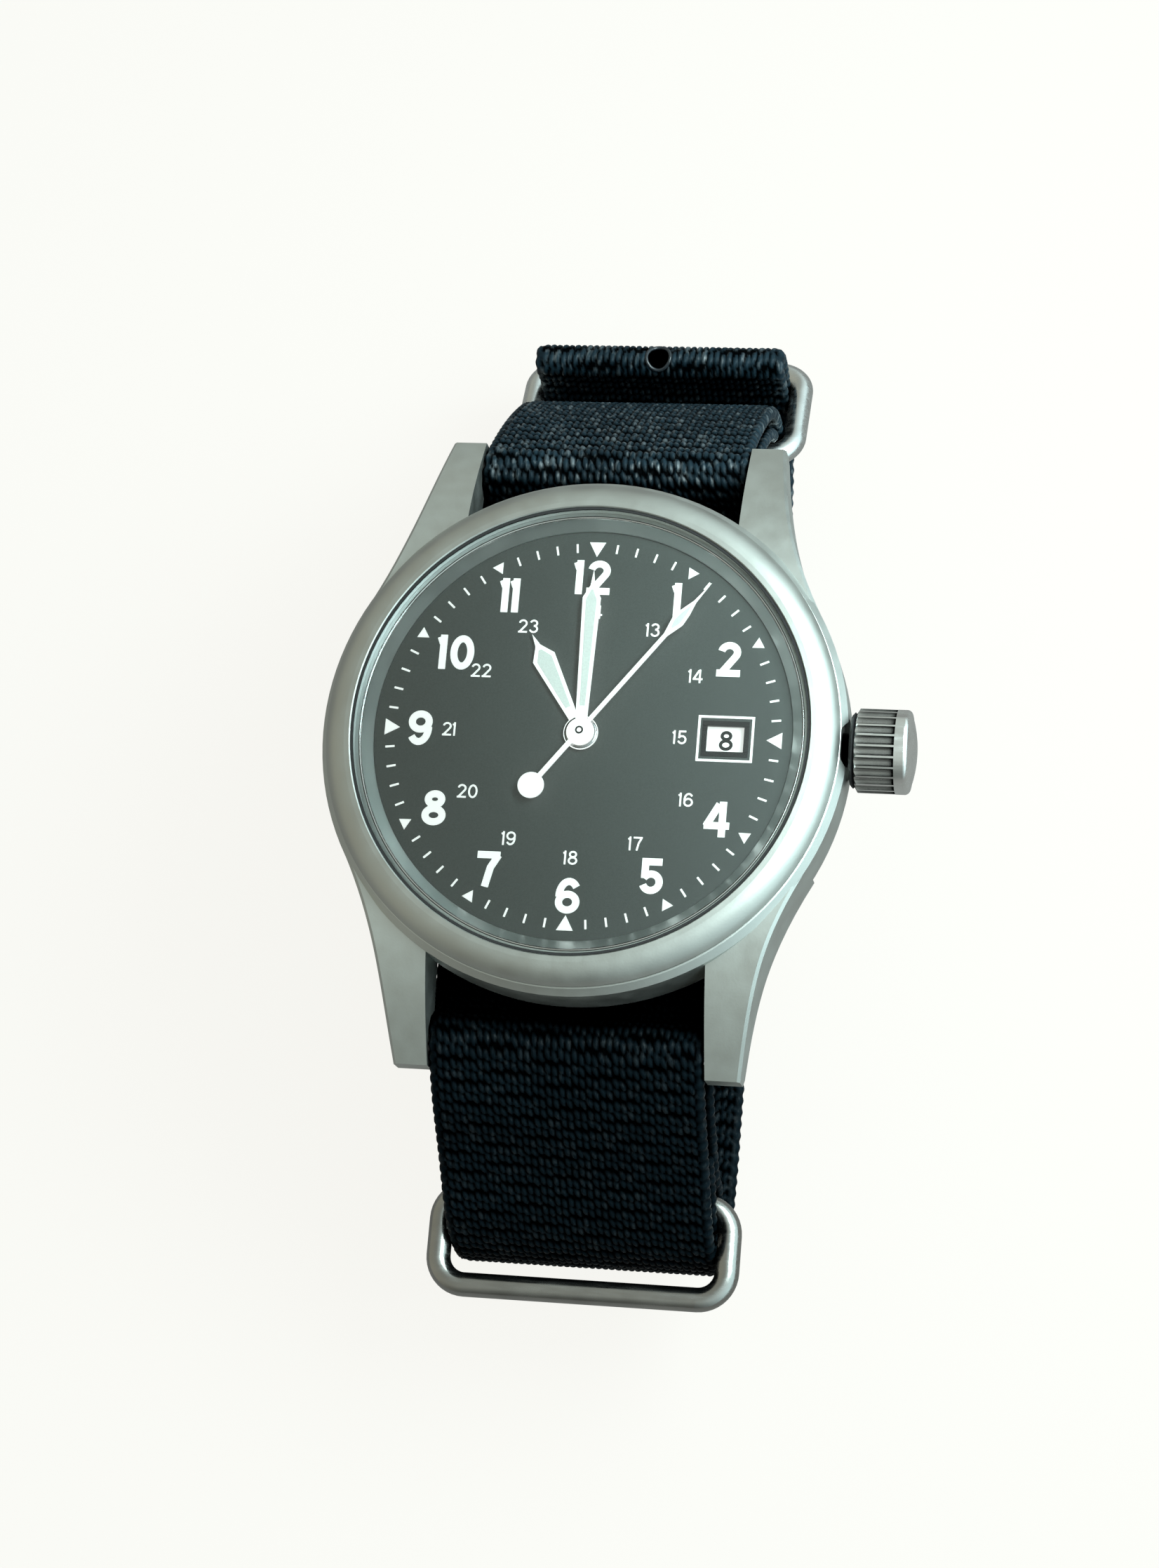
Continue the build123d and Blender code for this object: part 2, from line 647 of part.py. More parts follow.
def build_centre_wheel():
    """Centre wheel with its pinion on a hollow arbor that carries the minute hand."""
    with BuildPart() as wheel:
        gear(gear_points(CENTRE_TEETH, CENTRE_MODULE), 4.35, 4.5)
        spoked((0, 0), 4.0, 1.2, 4.35, 4.5)
        gear(gear_points(CENTRE_PINION, BARREL_MODULE), 3.78, 4.36)
        disc(0.5, 4.3, 7.3)
        disc(0.27, 3.5, 8, mode=Mode.SUBTRACT)
    return wheel


def build_third_wheel():
    """Third wheel and pinion on one arbor."""
    turn = meshed_turn(CENTRE_TEETH, 0, THIRD_PINION, THIRD_ANGLE)
    with BuildPart() as wheel:
        gear(gear_points(THIRD_TEETH, THIRD_MODULE), 3.4, 3.55, centre=THIRD_AT)
        spoked(THIRD_AT, 4.0, 0.9, 3.4, 3.55)
        gear(gear_points(THIRD_PINION, CENTRE_MODULE, turn), 3.5, 4.6, centre=THIRD_AT)
        arbor(THIRD_AT)
    return wheel


def build_fourth_wheel():
    """Fourth wheel, whose long arbor carries the seconds hand."""
    turn = meshed_turn(THIRD_TEETH, 0, FOURTH_PINION, THIRD_ANGLE + 180)
    with BuildPart() as wheel:
        gear(gear_points(FOURTH_TEETH, FOURTH_MODULE), 2.85, 3.0)
        spoked((0, 0), 4.1, 0.9, 2.85, 3.0)
        gear(gear_points(FOURTH_PINION, THIRD_MODULE, turn), 2.98, 3.68)
        disc(0.2, 3.6, 7.72)
        disc(PIVOT_R, 2.4, 2.9)
    return wheel


def build_escape_wheel():
    """Escape wheel with hooked teeth and its pinion."""
    tooth = 360 / ESCAPE_TEETH
    points = []
    for index in range(ESCAPE_TEETH):
        start = index * tooth
        points.append(polar(1.45, start))
        points.append(polar(1.95, start + 0.36 * tooth))
        points.append(polar(2.0, start + 0.58 * tooth))
        points.append(polar(1.5, start + 0.62 * tooth))
    with BuildPart() as wheel:
        gear(points, 3.92, 4.04, centre=ESCAPE_AT)
        spoked(ESCAPE_AT, 1.15, 0.5, 3.92, 4.04, spokes=4)
        gear(gear_points(ESCAPE_PINION, ESCAPE_PINION_MODULE), 2.8, 3.1, centre=ESCAPE_AT)
        arbor(ESCAPE_AT)
    return wheel


def build_pallet_fork():
    """Lever between the escape wheel and the balance, with its two arms and fork."""
    lever_l = FORK_REACH - 0.55
    with BuildPart() as fork:
        with BuildSketch(Plane((*PALLET_AT, 3.92)).rotated((0, 0, FORK_ANGLE))):
            Circle(0.35)
            with Locations((-0.2, 0)):
                Rectangle(0.35, 2.3)
            with Locations((lever_l / 2, 0)):
                Rectangle(lever_l, 0.25)
        extrude(amount=0.12)
        disc(PIVOT_R, 3.65, 5.15, centre=PALLET_AT)
    return fork


def build_balance_wheel():
    """Balance rim with two arms, staff and roller."""
    with BuildPart() as balance:
        with BuildSketch(Plane.XY.offset(3.15)):
            with Locations(BALANCE_AT):
                Circle(4.25)
                Circle(3.7, mode=Mode.SUBTRACT)
                Rectangle(7.6, 0.5)
                Circle(0.7)
        extrude(amount=0.33)
        disc(0.42, 3.85, 4.1, centre=BALANCE_AT)
        arbor(BALANCE_AT)
    return balance


def build_hairspring():
    """Flat spiral between the balance and its cock."""
    turns = 6
    inner, outer = 0.55, 2.3
    points = []
    for step in range(turns * 8 + 1):
        share = step / (turns * 8)
        radius = inner + (outer - inner) * share
        x, y = polar(radius, 360 * turns * share)
        points.append((BALANCE_AT[0] + x, BALANCE_AT[1] + y))
    with BuildPart() as spring:
        with BuildSketch(Plane.XY.offset(2.82)):
            with BuildLine() as coil:
                Spline(*points)
            trace(coil.line, line_width=0.07)
        extrude(amount=0.14)
    return spring


def build_ratchet_wheel():
    """Wheel on the barrel arbor's square."""
    turn = meshed_turn(CROWN_TEETH, 0, RATCHET_TEETH,
                       math.degrees(math.atan2(BARREL_AT[1] - CROWN_WHEEL_AT[1],
                                               BARREL_AT[0] - CROWN_WHEEL_AT[0])))
    with BuildPart() as wheel:
        gear(gear_points(RATCHET_TEETH, WINDING_MODULE, turn), KEEP_Z, KEEP_Z + KEEP_T,
             centre=BARREL_AT)
        with BuildSketch(Plane.XY.offset(KEEP_Z - 0.1)):
            with Locations(BARREL_AT):
                Rectangle(1.02, 1.02)
        extrude(amount=1, mode=Mode.SUBTRACT)
    return wheel


def build_crown_wheel():
    """Wheel with a collar of face teeth that reaches down to the winding pinion."""
    with BuildPart() as wheel:
        gear(gear_points(CROWN_TEETH, WINDING_MODULE), KEEP_Z, KEEP_Z + KEEP_T,
             centre=CROWN_WHEEL_AT)
        with BuildSketch(Plane.XY.offset(KEEP_Z + KEEP_T - 0.01)):
            with Locations(CROWN_WHEEL_AT):
                Circle(COLLAR_R)
                Circle(COLLAR_R - 0.4, mode=Mode.SUBTRACT)
        extrude(amount=COLLAR_L)
        with BuildSketch(Plane.XY.offset(KEEP_Z + KEEP_T + COLLAR_L - 0.05)):
            with Locations(CROWN_WHEEL_AT):
                with PolarLocations(COLLAR_R - 0.2, 20):
                    Rectangle(0.38, 0.27)
        extrude(amount=0.25)
    return wheel


def build_click():
    """Pawl that holds the ratchet wheel."""
    pivot = (BARREL_AT[0] - 5.05, BARREL_AT[1] + 3.1)
    with BuildPart() as click:
        with BuildSketch(Plane.XY.offset(KEEP_Z)):
            with BuildLine():
                Polyline((pivot[0] - 0.5, pivot[1] - 0.4), (pivot[0] - 0.2, pivot[1] - 2.6),
                         (pivot[0] + 0.15, pivot[1] - 1.9), (pivot[0] + 0.5, pivot[1]),
                         close=True)
            make_face()
            with Locations(pivot):
                Circle(0.55)
        extrude(amount=KEEP_T)
    return click


def build_setting_lever():
    """Lever whose pin sits in the stem's groove."""
    with BuildPart() as lever:
        with BuildSketch(Plane.XY.offset(PLATE_TOP_Z - 0.35)):
            with Locations((LEVER_X, -0.7)):
                Rectangle(0.7, 2.1)
        extrude(amount=0.3)
        disc(0.22, STEM_Z + 0.36, PLATE_TOP_Z - 0.3, centre=(LEVER_X, 0))
    return lever


def build_cannon_pinion():
    """Tube with twelve teeth that carries the minute hand."""
    with BuildPart() as pinion:
        gear(gear_points(CANNON_TEETH, CANNON_MODULE), 5.45, 5.78)
        disc(0.7, 5.45, 7.36)
        disc(0.51, 5, 8, mode=Mode.SUBTRACT)
    return pinion


def build_minute_wheel():
    """Wheel and pinion between the cannon pinion and the hour wheel."""
    turn = meshed_turn(CANNON_TEETH, 0, MINUTE_TEETH, MINUTE_WHEEL_ANGLE)
    with BuildPart() as wheel:
        gear(gear_points(MINUTE_TEETH, CANNON_MODULE, turn), 5.5, 5.65, centre=MINUTE_AT)
        gear(gear_points(MINUTE_PINION, HOUR_MODULE), 5.6, 6.18, centre=MINUTE_AT)
        disc(0.17, 4.9, 5.6, centre=MINUTE_AT)
    return wheel


def build_hour_wheel():
    """Wheel on a pipe that carries the hour hand."""
    turn = meshed_turn(MINUTE_PINION, 0, HOUR_TEETH, MINUTE_WHEEL_ANGLE + 180)
    with BuildPart() as wheel:
        gear(gear_points(HOUR_TEETH, HOUR_MODULE, turn), 6.02, 6.14)
        disc(0.95, 6.02, 7.1)
        disc(0.75, 5, 8, mode=Mode.SUBTRACT)
    return wheel


def build_jewels():
    """Bearing stones of the train, pallet fork and balance."""
    with BuildPart() as stones:
        upper = (THIRD_AT, ESCAPE_AT, PALLET_AT, BALANCE_AT)
        lower = (THIRD_AT, ESCAPE_AT, (0, 0), BALANCE_AT)
        for level, points in ((PLATE_Z + 0.02, upper), (BRIDGE_TOP_Z - 0.42, lower)):
            with BuildSketch(Plane.XY.offset(level)):
                with Locations(*points):
                    Circle(JEWEL_R)
                    Circle(JEWEL_HOLE_R, mode=Mode.SUBTRACT)
            extrude(amount=0.4)
    return stones


def build_bridge_screws():
    """Slotted screws of the bridges."""
    with BuildPart() as screws:
        for at in (*BARREL_PILLARS, *TRAIN_PILLARS, COCK_PILLAR):
            disc(SCREW_R, BRIDGE_Z - 0.02, 5.5, centre=at)
            disc(0.65, BRIDGE_Z - 0.3, BRIDGE_Z - 0.02, centre=at)
            with BuildSketch(Plane.XY.offset(BRIDGE_Z - 0.31)):
                with Locations(at):
                    Rectangle(1.4, 0.16)
            extrude(amount=0.14, mode=Mode.SUBTRACT)
        disc(SCREW_R, 3.58, 5.5, centre=PALLET_PILLAR)
        disc(0.55, 3.52, 3.58, centre=PALLET_PILLAR)
    return screws


# ---------------------------------------------------------------- hands


def hand(stations, length, hub_r, bore_r, low, thick, angle):
    """Flat hand from (distance, half width) stations, turned from 12 o'clock by its angle."""
    right = [(half, along) for along, half in stations]
    left = [(-half, along) for along, half in reversed(stations)]
    with BuildSketch(Plane.XY.offset(low).rotated((0, 0, angle))) as face:
        with BuildLine():
            Polyline(*right, (0, length), *left, close=True)
        make_face()
        Circle(hub_r)
        Circle(bore_r, mode=Mode.SUBTRACT)
    extrude(face.sketch, amount=thick)


def build_hour_hand():
    """Short broad hand on the hour pipe."""
    with BuildPart() as piece:
        hand(((0, 0.34), (1.3, 0.36), (6.3, 0.86), (7.3, 0.2)), 8.3, 1.25, 0.955, HOUR_HAND_Z,
             HAND_T, HOUR_ANGLE)
    return piece


def build_minute_hand():
    """Long hand on the cannon pinion."""
    with BuildPart() as piece:
        hand(((0, 0.3), (1.1, 0.42), (10.0, 0.66), (10.9, 0.16)), 12.1, 1.0, 0.705, MINUTE_HAND_Z,
             HAND_T, MINUTE_ANGLE)
    return piece


def build_seconds_hand():
    """Slim hand with a disc counterweight on the fourth arbor."""
    with BuildPart() as piece:
        hand(((0, 0.16), (9.2, 0.15), (10.5, 0.48), (11.4, 0.36), (12.4, 0.1)), 14.2, 0.85, 0.205,
             SECONDS_HAND_Z, SECONDS_T, SECONDS_ANGLE)
        with BuildSketch(Plane.XY.offset(SECONDS_HAND_Z).rotated((0, 0, SECONDS_ANGLE))):
            with Locations((0, -2.6)):
                Rectangle(0.36, 5.2)
            with Locations((0, -5.2)):
                Circle(0.95)
            Circle(0.6, mode=Mode.SUBTRACT)
        extrude(amount=SECONDS_T)
        disc(0.45, 7.5, 7.75)
        disc(0.205, 7.4, 7.7, mode=Mode.SUBTRACT)
    return piece


# ---------------------------------------------------------------- strap

def strip(path, width, thick):
    """Sweep a flat strip of webbing along a wire in the open part."""
    with BuildSketch(Plane(origin=path @ 0, x_dir=(1, 0, 0), z_dir=path % 0)) as section:
        Rectangle(width, thick)
    sweep(section.sketch, path=path)


def build_main_strap():
    """Long strap: over both bars, round the wrist, through the buckle and folded back."""
    with BuildPart() as strap:
        with BuildLine(Plane.YZ) as route:
            leg = Spline((LEG_END_Y, LEG_Z), (LEG_END_Y - 2.7, LEG_Z - 0.15),
                         (BUCKLE_Y, BUCKLE_Z - BUCKLE_WRAP_R), tangents=[(-1, 0), (-1, 0)])
            bend = ThreePointArc(leg @ 1, (BUCKLE_Y - BUCKLE_WRAP_R, BUCKLE_Z),
                                 (BUCKLE_Y, FLOOR_Z))
            floor = Line(bend @ 1, (BEND_Y, FLOOR_Z))
            side = TangentArc(floor @ 1, (BEND_Y + SIDE_R, BEND_Z), tangent=(1, 0))
            slope_end = (BAR_Y + WRAP_R * 0.73, BAR_Z + WRAP_R * 0.683)
            Spline(side @ 1, (29.4, -6.9), slope_end, tangents=[(0, 1), (-0.683, 0.73)])
            over = TangentArc(slope_end, (BAR_Y - WRAP_R, BAR_Z), tangent=(-0.683, 0.73))
            down = Line(over @ 1, (BAR_Y - WRAP_R, UNDER_Z + UNDER_R))
            turn = TangentArc(down @ 1, (BAR_Y - WRAP_R - UNDER_R, UNDER_Z), tangent=(0, -1))
            under = Line(turn @ 1, (-(BAR_Y - WRAP_R - UNDER_R), UNDER_Z))
            rise = TangentArc(under @ 1, (-(BAR_Y - WRAP_R), UNDER_Z + UNDER_R),
                              tangent=(-1, 0))
            up = Line(rise @ 1, (-(BAR_Y - WRAP_R), BAR_Z))
            crest_end = (-BAR_Y - WRAP_R * 0.6, BAR_Z + WRAP_R * 0.8)
            TangentArc(up @ 1, crest_end, tangent=(0, 1))
            far = Spline(crest_end, (-24.8, 0.2), (-28.9, -4.3), (-34.1, -11.0), (-34.3, -16.4),
                         (REST_Y[0], REST_Z), tangents=[(-0.8, -0.6), (1, 0)])
            rest = Line(far @ 1, (REST_Y[1], REST_Z))
            cross = Spline(rest @ 1, (1.6, -21.5), (7.4, -23.75), (16.0, BEND_Z - TAIL_R),
                           tangents=[(1, 0), (1, 0)])
            tail = Line(cross @ 1, (BEND_Y, BEND_Z - TAIL_R))
            tail_bend = TangentArc(tail @ 1, (BEND_Y + TAIL_R, BEND_Z), tangent=(1, 0))
            fold = TangentArc(tail_bend @ 1, (BEND_Y + RETURN_R, BEND_Z), tangent=(0, 1))
            back = TangentArc(fold @ 1, (BEND_Y, BEND_Z - RETURN_R), tangent=(0, -1))
            Line(back @ 1, (RETURN_END_Y, BEND_Z - RETURN_R))
        strip(route.wire(), STRAP_W, STRAP_T)
        with Locations((0, BUCKLE_Y - 0.5, BUCKLE_Z)):
            Box(*TANG_SLOT, mode=Mode.SUBTRACT)
        with Locations(TANG_HOLE_AT):
            Box(*TANG_HOLE, mode=Mode.SUBTRACT)
        with Locations((0, BEND_Y + TAIL_R + FOLD_R, BEND_Z + FOLD_R)):
            Cylinder(HOLE_R, 3.0, mode=Mode.SUBTRACT)
        with Locations((0, TAIL_HOLE_Y, BEND_Z - TAIL_R)):
            Cylinder(HOLE_R, 2.0, mode=Mode.SUBTRACT)
    return strap


def build_flap_strap():
    """Short strap under the case, from the twelve side to the flap ring's back bar."""
    bar = (FLAP_BAR_Y, FLAP_BAR_Z)
    with BuildPart() as strap:
        with BuildLine(Plane.YZ) as route:
            drop = Spline((29.9, -12.0), (28.0, -7.8), (24.5, -3.75), (18.0, FLAP_UNDER_Z),
                          tangents=[(-0.2, 0.98), (-1, 0)])
            under = Line(drop @ 1, (-18.0, FLAP_UNDER_Z))
            down = Spline(under @ 1, (-23.6, -3.9), (-27.2, -8.2), (bar[0] + FLAP_WRAP_R, bar[1]),
                          tangents=[(-1, 0), (0, -1)])
            wrap = ThreePointArc(down @ 1, (bar[0], bar[1] - FLAP_WRAP_R),
                                 (bar[0] - FLAP_WRAP_R, bar[1]))
            Spline(wrap @ 1, (-29.9, -8.7), (-28.0, -6.3), tangents=[(0, 1), (0.66, 0.75)])
        strip(route.wire(), STRAP_W, FLAP_T)
        for side in (-1, 1):
            with Locations((side * (FLAP_END_HALF + 1), FLAP_BAR_Y, FLAP_BAR_Z)):
                Box(2, 5.6, 5.6, mode=Mode.SUBTRACT)
    return strap


# ---------------------------------------------------------------- rings and buckle


def build_spring_bar(y):
    """Spring bar with a thin pin at each end, between a pair of lugs."""
    body_half = 9.7
    pin_half = LUG_GAP / 2 + PIN_END
    with BuildPart() as bar:
        for radius, half in ((BAR_R, body_half), (PIN_R, pin_half)):
            with BuildSketch(Plane.YZ.offset(-half)):
                with Locations((y, BAR_Z)):
                    Circle(radius)
            extrude(amount=2 * half)
    return bar


def build_ring(plane, length):
    """Closed ring of round wire: one long side on the plane's x axis, the other at length."""
    corners = ((-RING_HALF, 0), (RING_HALF, 0), (RING_HALF, length), (-RING_HALF, length))
    with BuildPart() as ring:
        with BuildLine(plane) as path:
            FilletPolyline(*corners, radius=RING_CORNER, close=True)
        loop = path.wire()
        with BuildSketch(Plane(origin=loop @ 0, z_dir=loop % 0)):
            Circle(RING_WIRE_R)
        sweep(path=loop)
    return ring


def build_flap_ring():
    """Ring at the end of the flap strap, through which the long strap passes."""
    plane = Plane(origin=(0, FLAP_BAR_Y, FLAP_BAR_Z), x_dir=(-1, 0, 0), z_dir=(0, 0, 1))
    return build_ring(plane, FLAP_BAR_Y - FLAP_FRONT_Y)


def build_keeper_upper():
    """Ring round the layers of the strap, where they bend up the twelve side."""
    angle = math.radians(KEEPER_UPPER_ANGLE)
    outward = (0, math.cos(angle), math.sin(angle))
    plane = Plane(origin=(0, BEND_Y + KEEPER_INNER * outward[1], BEND_Z + KEEPER_INNER * outward[2]),
                  x_dir=(1, 0, 0), z_dir=(0, -outward[2], outward[1]))
    return build_ring(plane, KEEPER_L)


def build_keeper_lower():
    """Ring round the layers of the strap, on their flat run."""
    plane = Plane(origin=(0, KEEPER_LOWER_Y, BEND_Z - KEEPER_INNER), x_dir=(1, 0, 0),
                  z_dir=(0, 1, 0))
    return build_ring(plane, KEEPER_L)


def build_buckle_frame():
    """Bent wire frame with an eye at each end for the buckle's bar."""
    half = RING_HALF
    length = math.hypot(FRAME_Y - BUCKLE_Y, FRAME_Z - BUCKLE_Z)
    down = (0, (FRAME_Y - BUCKLE_Y) / length, (FRAME_Z - BUCKLE_Z) / length)
    plane = Plane(origin=(0, BUCKLE_Y, BUCKLE_Z), x_dir=(1, 0, 0),
                  z_dir=(0, -down[2], down[1]))
    with BuildPart() as frame:
        with BuildLine(plane) as path:
            FilletPolyline((-half, 0), (-half, length), (half, length), (half, 0),
                           radius=RING_CORNER)
        bend = path.wire()
        with BuildSketch(Plane(origin=bend @ 0, z_dir=bend % 0)):
            Circle(RING_WIRE_R)
        sweep(path=bend)
        for side in (-1, 1):
            with BuildSketch(Plane.YZ.offset(side * half)):
                with Locations((BUCKLE_Y, BUCKLE_Z)):
                    Circle(EYE_R)
            extrude(amount=EYE_HALF, both=True)
        with BuildSketch(Plane.YZ.offset(-half - 2)):
            with Locations((BUCKLE_Y, BUCKLE_Z)):
                Circle(BUCKLE_BAR_R)
        extrude(amount=2 * half + 4, mode=Mode.SUBTRACT)
    return frame


def build_buckle_bar():
    """Bar that joins the frame, the tang and the strap's end."""
    half = RING_HALF + RING_WIRE_R + 0.15
    with BuildPart() as bar:
        with BuildSketch(Plane.YZ.offset(-half)):
            with Locations((BUCKLE_Y, BUCKLE_Z)):
                Circle(BUCKLE_BAR_R - BAR_FIT)
        extrude(amount=2 * half)
    return bar


def build_buckle_tang():
    """Tang that turns on the buckle bar and rests on the frame."""
    eye_r = BUCKLE_BAR_R + RUN_GAP - BAR_FIT
    rest_z = FRAME_Z - RING_WIRE_R - RUN_GAP
    tip_y = FRAME_Y - 1.2
    with BuildPart() as tang:
        with BuildSketch(Plane.YZ.offset(-TANG_W / 2)):
            with Locations((BUCKLE_Y, BUCKLE_Z)):
                Circle(TANG_EYE_R)
            with BuildLine():
                Line((BUCKLE_Y - 0.4, BUCKLE_Z - 0.4), (BUCKLE_Y, BUCKLE_Z - TANG_EYE_R))
                Line((BUCKLE_Y, BUCKLE_Z - TANG_EYE_R), (FRAME_Y + 0.6, rest_z - 0.85))
                ThreePointArc((FRAME_Y + 0.6, rest_z - 0.85), (FRAME_Y - 0.7, rest_z - 0.7),
                              (tip_y, rest_z - 0.1))
                Line((tip_y, rest_z - 0.1), (FRAME_Y + 0.6, rest_z))
                Line((FRAME_Y + 0.6, rest_z), (BUCKLE_Y - 0.4, BUCKLE_Z - 0.4))
            make_face()
            with Locations((BUCKLE_Y, BUCKLE_Z)):
                Circle(eye_r, mode=Mode.SUBTRACT)
        extrude(amount=TANG_W)
    return tang


PIECES = {
    "mid_case": build_mid_case,
    "bezel": build_bezel,
    "crystal": build_crystal,
    "crystal_gasket": build_crystal_gasket,
    "rehaut_ring": build_rehaut,
    "dial": build_dial,
    "date_ring": build_date_ring,
    "caseback": build_caseback,
    "caseback_gasket": build_caseback_gasket,
    "movement_ring": build_movement_ring,
    "case_tube": build_case_tube,
    "crown": build_crown,
    "crown_gasket": build_crown_gasket,
    "stem": build_stem,
    "winding_pinion": build_winding_pinion,
    "sliding_pinion": build_sliding_pinion,
    "mainplate": build_mainplate,
    "barrel_bridge": build_barrel_bridge,
    "train_bridge": build_train_bridge,
    "balance_cock": build_balance_cock,
    "pallet_bridge": build_pallet_bridge,
    "barrel": build_barrel,
    "barrel_arbor": build_barrel_arbor,
    "mainspring": build_mainspring,
    "centre_wheel": build_centre_wheel,
    "third_wheel": build_third_wheel,
    "fourth_wheel": build_fourth_wheel,
    "escape_wheel": build_escape_wheel,
    "pallet_fork": build_pallet_fork,
    "balance_wheel": build_balance_wheel,
    "hairspring": build_hairspring,
    "ratchet_wheel": build_ratchet_wheel,
    "crown_wheel": build_crown_wheel,
    "click": build_click,
    "setting_lever": build_setting_lever,
    "cannon_pinion": build_cannon_pinion,
    "minute_wheel": build_minute_wheel,
    "hour_wheel": build_hour_wheel,
    "jewels": build_jewels,
    "bridge_screws": build_bridge_screws,
    "hour_hand": build_hour_hand,
    "minute_hand": build_minute_hand,
    "seconds_hand": build_seconds_hand,
    "spring_bar_12": lambda: build_spring_bar(BAR_Y),
    "spring_bar_6": lambda: build_spring_bar(-BAR_Y),
    "main_strap": build_main_strap,
    "flap_strap": build_flap_strap,
    "flap_ring": build_flap_ring,
    "keeper_upper": build_keeper_upper,
    "keeper_lower": build_keeper_lower,
    "buckle_frame": build_buckle_frame,
    "buckle_bar": build_buckle_bar,
    "buckle_tang": build_buckle_tang,
}

for piece_name, build_piece in PIECES.items():
    save(build_piece(), piece_name)
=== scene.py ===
"""Looks of the field wristwatch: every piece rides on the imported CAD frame, in metres."""
import json
import math

import bmesh
import bpy
import numpy as np
from mathutils import Matrix, Vector


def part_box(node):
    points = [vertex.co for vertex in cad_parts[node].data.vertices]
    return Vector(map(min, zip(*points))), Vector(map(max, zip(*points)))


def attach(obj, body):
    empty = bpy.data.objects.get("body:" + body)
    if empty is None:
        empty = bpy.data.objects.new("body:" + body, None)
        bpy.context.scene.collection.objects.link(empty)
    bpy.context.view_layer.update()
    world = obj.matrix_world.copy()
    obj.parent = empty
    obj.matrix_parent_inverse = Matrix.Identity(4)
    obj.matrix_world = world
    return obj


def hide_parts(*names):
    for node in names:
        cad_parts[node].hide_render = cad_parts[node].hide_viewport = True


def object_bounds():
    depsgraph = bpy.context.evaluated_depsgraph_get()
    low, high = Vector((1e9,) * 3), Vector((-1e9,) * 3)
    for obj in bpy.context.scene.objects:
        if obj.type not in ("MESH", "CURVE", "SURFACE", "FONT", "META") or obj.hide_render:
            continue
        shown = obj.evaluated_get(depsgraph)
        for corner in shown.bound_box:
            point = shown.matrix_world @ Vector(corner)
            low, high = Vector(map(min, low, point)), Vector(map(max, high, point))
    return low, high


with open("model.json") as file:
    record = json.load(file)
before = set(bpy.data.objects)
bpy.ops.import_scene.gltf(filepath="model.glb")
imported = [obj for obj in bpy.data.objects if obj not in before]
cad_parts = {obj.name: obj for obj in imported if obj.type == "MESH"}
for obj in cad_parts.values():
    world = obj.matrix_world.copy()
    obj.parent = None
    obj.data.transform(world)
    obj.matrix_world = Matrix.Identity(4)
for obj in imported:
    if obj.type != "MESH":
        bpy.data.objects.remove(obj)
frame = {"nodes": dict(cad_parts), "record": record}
CAD_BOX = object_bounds()
MM = 0.001

# ---------------------------------------------------------------- places and sizes, in mm


def node_box(node):
    """Lowest and highest corner of a CAD node in mm."""
    low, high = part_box(node)
    return low / MM, high / MM


def joint_place(name):
    """Pivot of a joint in mm."""
    for joint in frame["record"]["behaviour"]["joints"]:
        if joint["name"] == name:
            return Vector(joint["pos_m"]) / MM
    raise KeyError(name)


DIAL_TOP = node_box("dial")[1].z
DATE_TOP = node_box("date_ring")[1].z
HOUR_TOP = node_box("hour_hand")[1].z
MINUTE_TOP = node_box("minute_hand")[1].z
SECONDS_LOW, SECONDS_HIGH = node_box("seconds_hand")
BAR_LOW, BAR_HIGH = node_box("spring_bar_12")
BAR_Y = (BAR_LOW.y + BAR_HIGH.y) / 2
BAR_Z = (BAR_LOW.z + BAR_HIGH.z) / 2
BAR_R = (BAR_HIGH.z - BAR_LOW.z) / 2
EDGE_YARN = 0.24
STRAP_HALF = node_box("main_strap")[1].x + EDGE_YARN
FLAP_BAR = joint_place("flap_ring_swing")
BUCKLE_BAR = joint_place("buckle_swing")
BEND = joint_place("keeper_upper_swing")

PRINT_T = 0.03
SECONDS_T = 0.1
HOUR_ANGLE = 30.0
MINUTE_ANGLE = 0.0
SECONDS_ANGLE = -37.5

# ---------------------------------------------------------------- node helpers


def start_material(name, colour, metallic=0.0, roughness=0.5):
    """New material with one Principled surface; gives the material, its tree and surface."""
    material = bpy.data.materials.new(name)
    material.use_nodes = True
    tree = material.node_tree
    surface = tree.nodes["Principled BSDF"]
    surface.inputs["Base Color"].default_value = (*colour, 1)
    surface.inputs["Metallic"].default_value = metallic
    surface.inputs["Roughness"].default_value = roughness
    return material, tree, surface


def object_coordinates(tree, stretch=(1, 1, 1)):
    """Object coordinates in mm, stretched per axis."""
    source = tree.nodes.new("ShaderNodeTexCoord")
    mapping = tree.nodes.new("ShaderNodeMapping")
    mapping.inputs["Scale"].default_value = [value / MM for value in stretch]
    tree.links.new(source.outputs["Object"], mapping.inputs["Vector"])
    return mapping.outputs["Vector"]


def attribute_vector(tree, name, stretch=(1, 1, 1)):
    """A stored vector attribute, stretched per axis."""
    source = tree.nodes.new("ShaderNodeAttribute")
    source.attribute_name = name
    mapping = tree.nodes.new("ShaderNodeMapping")
    mapping.inputs["Scale"].default_value = stretch
    tree.links.new(source.outputs["Vector"], mapping.inputs["Vector"])
    return mapping.outputs["Vector"]


def noise(tree, vector, scale, detail=2.0, roughness=0.5):
    """Noise value on the given coordinates."""
    node = tree.nodes.new("ShaderNodeTexNoise")
    node.inputs["Scale"].default_value = scale
    node.inputs["Detail"].default_value = detail
    node.inputs["Roughness"].default_value = roughness
    tree.links.new(vector, node.inputs["Vector"])
    return node.outputs["Fac"]


